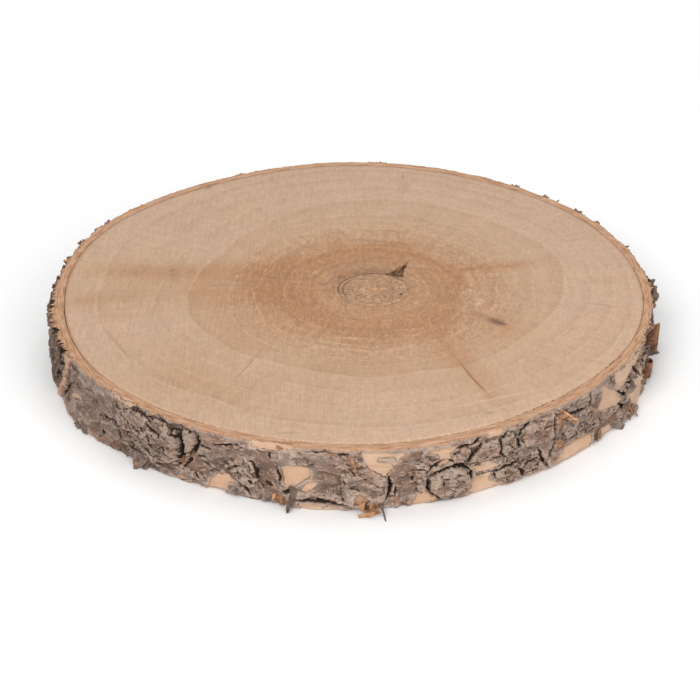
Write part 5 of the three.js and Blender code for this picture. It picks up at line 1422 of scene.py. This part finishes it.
    brown, grey_, pale_, amber = lin(122, 90, 68), lin(128, 106, 92), lin(234, 206, 178), lin(186, 136, 98)
    for x, y, lo, wi, tu, cc, am, so in (
        (0.482, -0.248, 7.5, 4.2, -38, brown, 0.85, 0.95), (0.43, -0.205, 11, 3.8, -34, brown, 0.24, 0.95), (0.50, -0.262, 3.6, 1.6, -30, lin(98, 78, 66), 0.55, 0.9),
        (0.345, -0.515, 36, 2.2, -67, amber, 0.50, 0.95), (0.395, -0.645, 15, 1.0, -66, lin(140, 92, 62), 0.55, 0.9), (0.30, -0.385, 16, 3.5, -60, lin(160, 118, 90), 0.30, 0.95),
        (0.435, -0.74, 6, 4.5, -60, amber, 0.45, 0.95), (0.425, -0.83, 3.0, 1.6, 10, grey_, 0.45, 0.9), (0.47, -0.81, 2.0, 1.2, 10, grey_, 0.3, 0.9),
        (-0.335, -0.535, 27, 0.8, -112, lin(164, 114, 80), 0.42, 0.9), (-0.20, -0.30, 12, 1.2, -118, lin(164, 114, 80), 0.22, 0.9),
        (-0.635, 0.12, 3.0, 1.3, 20, grey_, 0.60, 0.9), (-0.63, 0.087, 2.0, 1.2, 0, grey_, 0.55, 0.9), (-0.40, 0.10, 1.8, 1.2, 0, grey_, 0.60, 0.8), (-0.565, 0.115, 2.2, 0.8, 10, grey_, 0.3, 0.9),
        (-0.26, 0.065, 16, 0.9, -14, grey_, 0.45, 0.9), (-0.46, 0.015, 10, 1.1, 2, grey_, 0.30, 0.9), (-0.36, 0.045, 12, 0.8, -4, grey_, 0.30, 0.9), (-0.10, 0.02, 5, 0.8, -8, brown, 0.55, 0.9),
        (0.195, 0.905, 7, 1.5, 90, lin(164, 124, 96), 0.50, 0.95), (0.20, 0.80, 12, 4.0, 84, lin(182, 144, 114), 0.30, 0.95), (-0.547, 0.806, 5, 2.4, 60, grey_, 0.42, 0.95), (0.59, 0.69, 9, 1.6, 55, lin(176, 138, 110), 0.45, 0.95),
        (0.85, -0.129, 17, 0.7, -14, lin(166, 124, 96), 0.55, 0.9), (0.79, -0.20, 16, 0.8, 34, lin(176, 136, 108), 0.40, 0.9), (0.56, 0.16, 16, 1.6, 12, lin(164, 120, 88), 0.38, 0.95), (0.70, 0.21, 14, 1.2, 22, lin(182, 142, 112), 0.25, 0.95),
        (0.40, 0.13, 6, 3.0, 20, lin(156, 112, 80), 0.40, 0.95), (-0.032, 0.086, 2.4, 1.8, 30, lin(166, 106, 70), 0.75, 0.8), (-0.044, 0.078, 1.8, 1.0, 60, lin(90, 64, 52), 0.6, 0.8), (-0.048, -0.02, 0.8, 5.0, 8, lin(92, 68, 56), 0.70, 0.8),
        (-0.006, -0.018, 3.2, 0.7, 0, lin(112, 88, 74), 0.55, 0.9), (0.03, -0.055, 3.0, 0.7, 20, lin(120, 94, 78), 0.45, 0.9), (0.085, 0.04, 6.0, 0.8, 10, lin(132, 102, 82), 0.40, 0.9),
        (0.167, -0.047, 1.1, 1.5, 0, lin(60, 42, 34), 0.85, 0.6), (0.461, -0.742, 36, 0.7, 21, pale_, 0.55, 0.9), (0.60, -0.76, 20, 0.6, 16, pale_, 0.40, 0.9),
        (0.43, -0.115, 7, 5, 60, pale_, 0.42, 0.95), (0.40, -0.03, 5, 3, 50, pale_, 0.35, 0.95), (0.11, 0.58, 8, 5, 20, pale_, 0.25, 0.95), (0.22, 0.40, 8, 3, -25, pale_, 0.22, 0.95), (0.24, 0.16, 9, 3.0, -22, lin(202, 170, 144), 0.45, 0.95), (0.20, 0.215, 4.5, 0.7, 42, lin(214, 182, 154), 0.6, 0.9),
        (0.0, -0.36, 16, 1.6, -4, pale_, 0.35, 0.95), (0.20, -0.30, 10, 1.4, 14, pale_, 0.30, 0.95), (-0.13, 0.11, 3.0, 2.2, 0, pale_, 0.55, 0.95), (-0.19, 0.04, 4.0, 1.4, 0, pale_, 0.40, 0.95),
        (-0.20, -0.95, 10, 0.6, 4, grey_, 0.35, 0.9), (-0.9, 0.125, 12, 4.0, -3, amber, 0.22, 0.95), (-0.91, -0.11, 10, 5.2, 8, amber, 0.22, 0.95), (-0.80, -0.205, 14, 4.0, 4, amber, 0.20, 0.95), (-0.760, -0.425, 31, 0.8, -63, lin(170, 126, 92), 0.46, 0.9),
        (0.06, -0.30, 7, 2.4, 0, lin(156, 124, 100), 0.35, 0.95), (-0.10, -0.22, 12, 1.6, -22, lin(162, 126, 100), 0.30, 0.95), (0.02, 0.16, 16, 3.0, 4, lin(168, 136, 112), 0.35, 0.95),
    ):
        flecked = cc == pale_ and wi > 1.3
        col = spot(x, y, lo, wi, tu, cc, min(1.0, am * (1.9 if flecked else 1.0)), so, flecked)
    col = m.shade(col, TONE)
    m.put(m.bsdf.inputs["Base Color"], col)
    m.put(m.bsdf.inputs["Roughness"], m.span(speck, 0.3, 0.7, 0.58, 0.78))
    m.bsdf.inputs["Specular IOR Level"].default_value = 0.30
    height = m.math("ADD", m.math("MULTIPLY", m.math("MULTIPLY", m.math("ADD", hair, m.math("MULTIPLY", comb, 0.15)), strength), 0.8), m.math("MULTIPLY", speck, 0.5))
    height = m.math("ADD", height, m.math("MULTIPLY", rays(60.0, 30.0, 5.0), 0.25))
    m.bump(height, 0.00022, 0.7)
    return m.mat


wood.data.materials.append(wood_material())
bark_look = bark_material()
for piece in bark:
    piece.data.materials.append(bark_look)
curls.data.materials.append(curl_material())
for piece, slot in ((wood, "sawn_wood"), (bark[0], "bark"), (bark[1], "bark"), (curls, "bark")):
    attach(piece, "root")
    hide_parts("wood_slice")

# ---------------------------------------------------------------- floor, light and camera
me = bpy.data.meshes.new("floor")
s = 6.0
me.from_pydata([(-s, -s, 0), (s, -s, 0), (s, s, 0), (-s, s, 0)], [], [(0, 1, 2, 3)])
floor = bpy.data.objects.new("floor", me)
floor.location = (0, 0, float(LOW[2]) - 0.0001)
bpy.context.scene.collection.objects.link(floor)
fm = Nodes("floor")
fm.bsdf.inputs["Base Color"].default_value = (0.965, 0.965, 0.965, 1)
fm.bsdf.inputs["Roughness"].default_value = 0.9
fm.bsdf.inputs["Specular IOR Level"].default_value = 0.0
me.materials.append(fm.mat)

world = bpy.data.worlds.new("studio")
bpy.context.scene.world = world
world.use_nodes = True
world.node_tree.nodes["Background"].inputs[0].default_value = (1.0, 1.0, 1.0, 1)
world.node_tree.nodes["Background"].inputs[1].default_value = 0.54


def softbox(name, at, aim, size, watts):
    data = bpy.data.lights.new(name, "AREA")
    data.shape, data.size, data.energy = "SQUARE", size, watts
    ob = bpy.data.objects.new(name, data)
    ob.location = at
    from mathutils import Vector
    ob.rotation_euler = (Vector(aim) - Vector(at)).to_track_quat("-Z", "Y").to_euler()
    bpy.context.scene.collection.objects.link(ob)


softbox("key", (-1.3, -2.9, 2.6), (0, 0, 0.02), 2.2, 83.0)
softbox("fill", (2.1, -2.8, 1.8), (0, 0, 0.02), 2.2, 38.0)
softbox("top", (0.3, 1.4, 3.6), (0, 0, 0.02), 2.6, 31.0)

CAM = dict(distance=7.0 * WOOD * 0.001, height=27.946, turn=-0.075, nod=1.787, focal=289.0 * 7.0)
centre = np.array([MID_X, MID_Y, THICK]) * 0.001
e, y = math.radians(CAM["height"]), math.radians(CAM["turn"])
pitch = e + math.radians(CAM["nod"])
eye = centre + CAM["distance"] * np.array([0, -math.cos(e), math.sin(e)])
forward = np.array([math.sin(y) * math.cos(pitch), math.cos(y) * math.cos(pitch), -math.sin(pitch)])
right = np.array([math.cos(y), -math.sin(y), 0.0])
up = np.cross(right, forward)
cam_data = bpy.data.cameras.new("camera")
cam_data.sensor_width = 36.0
cam_data.sensor_fit = "HORIZONTAL"
cam_data.lens = CAM["focal"] / 700.0 * 36.0
cam_data.clip_start, cam_data.clip_end = 0.01, 50.0
cam = bpy.data.objects.new("camera", cam_data)
from mathutils import Matrix
cam.matrix_world = Matrix(((right[0], up[0], -forward[0], eye[0]), (right[1], up[1], -forward[1], eye[1]), (right[2], up[2], -forward[2], eye[2]), (0, 0, 0, 1)))
bpy.context.scene.collection.objects.link(cam)
bpy.context.scene.camera = cam
bpy.context.scene.view_settings.view_transform = "Standard"
bpy.context.scene.view_settings.look = "None"
bpy.context.scene.view_settings.exposure = 0.0
bpy.context.scene.view_settings.gamma = 1.0

bpy.context.view_layer.update()
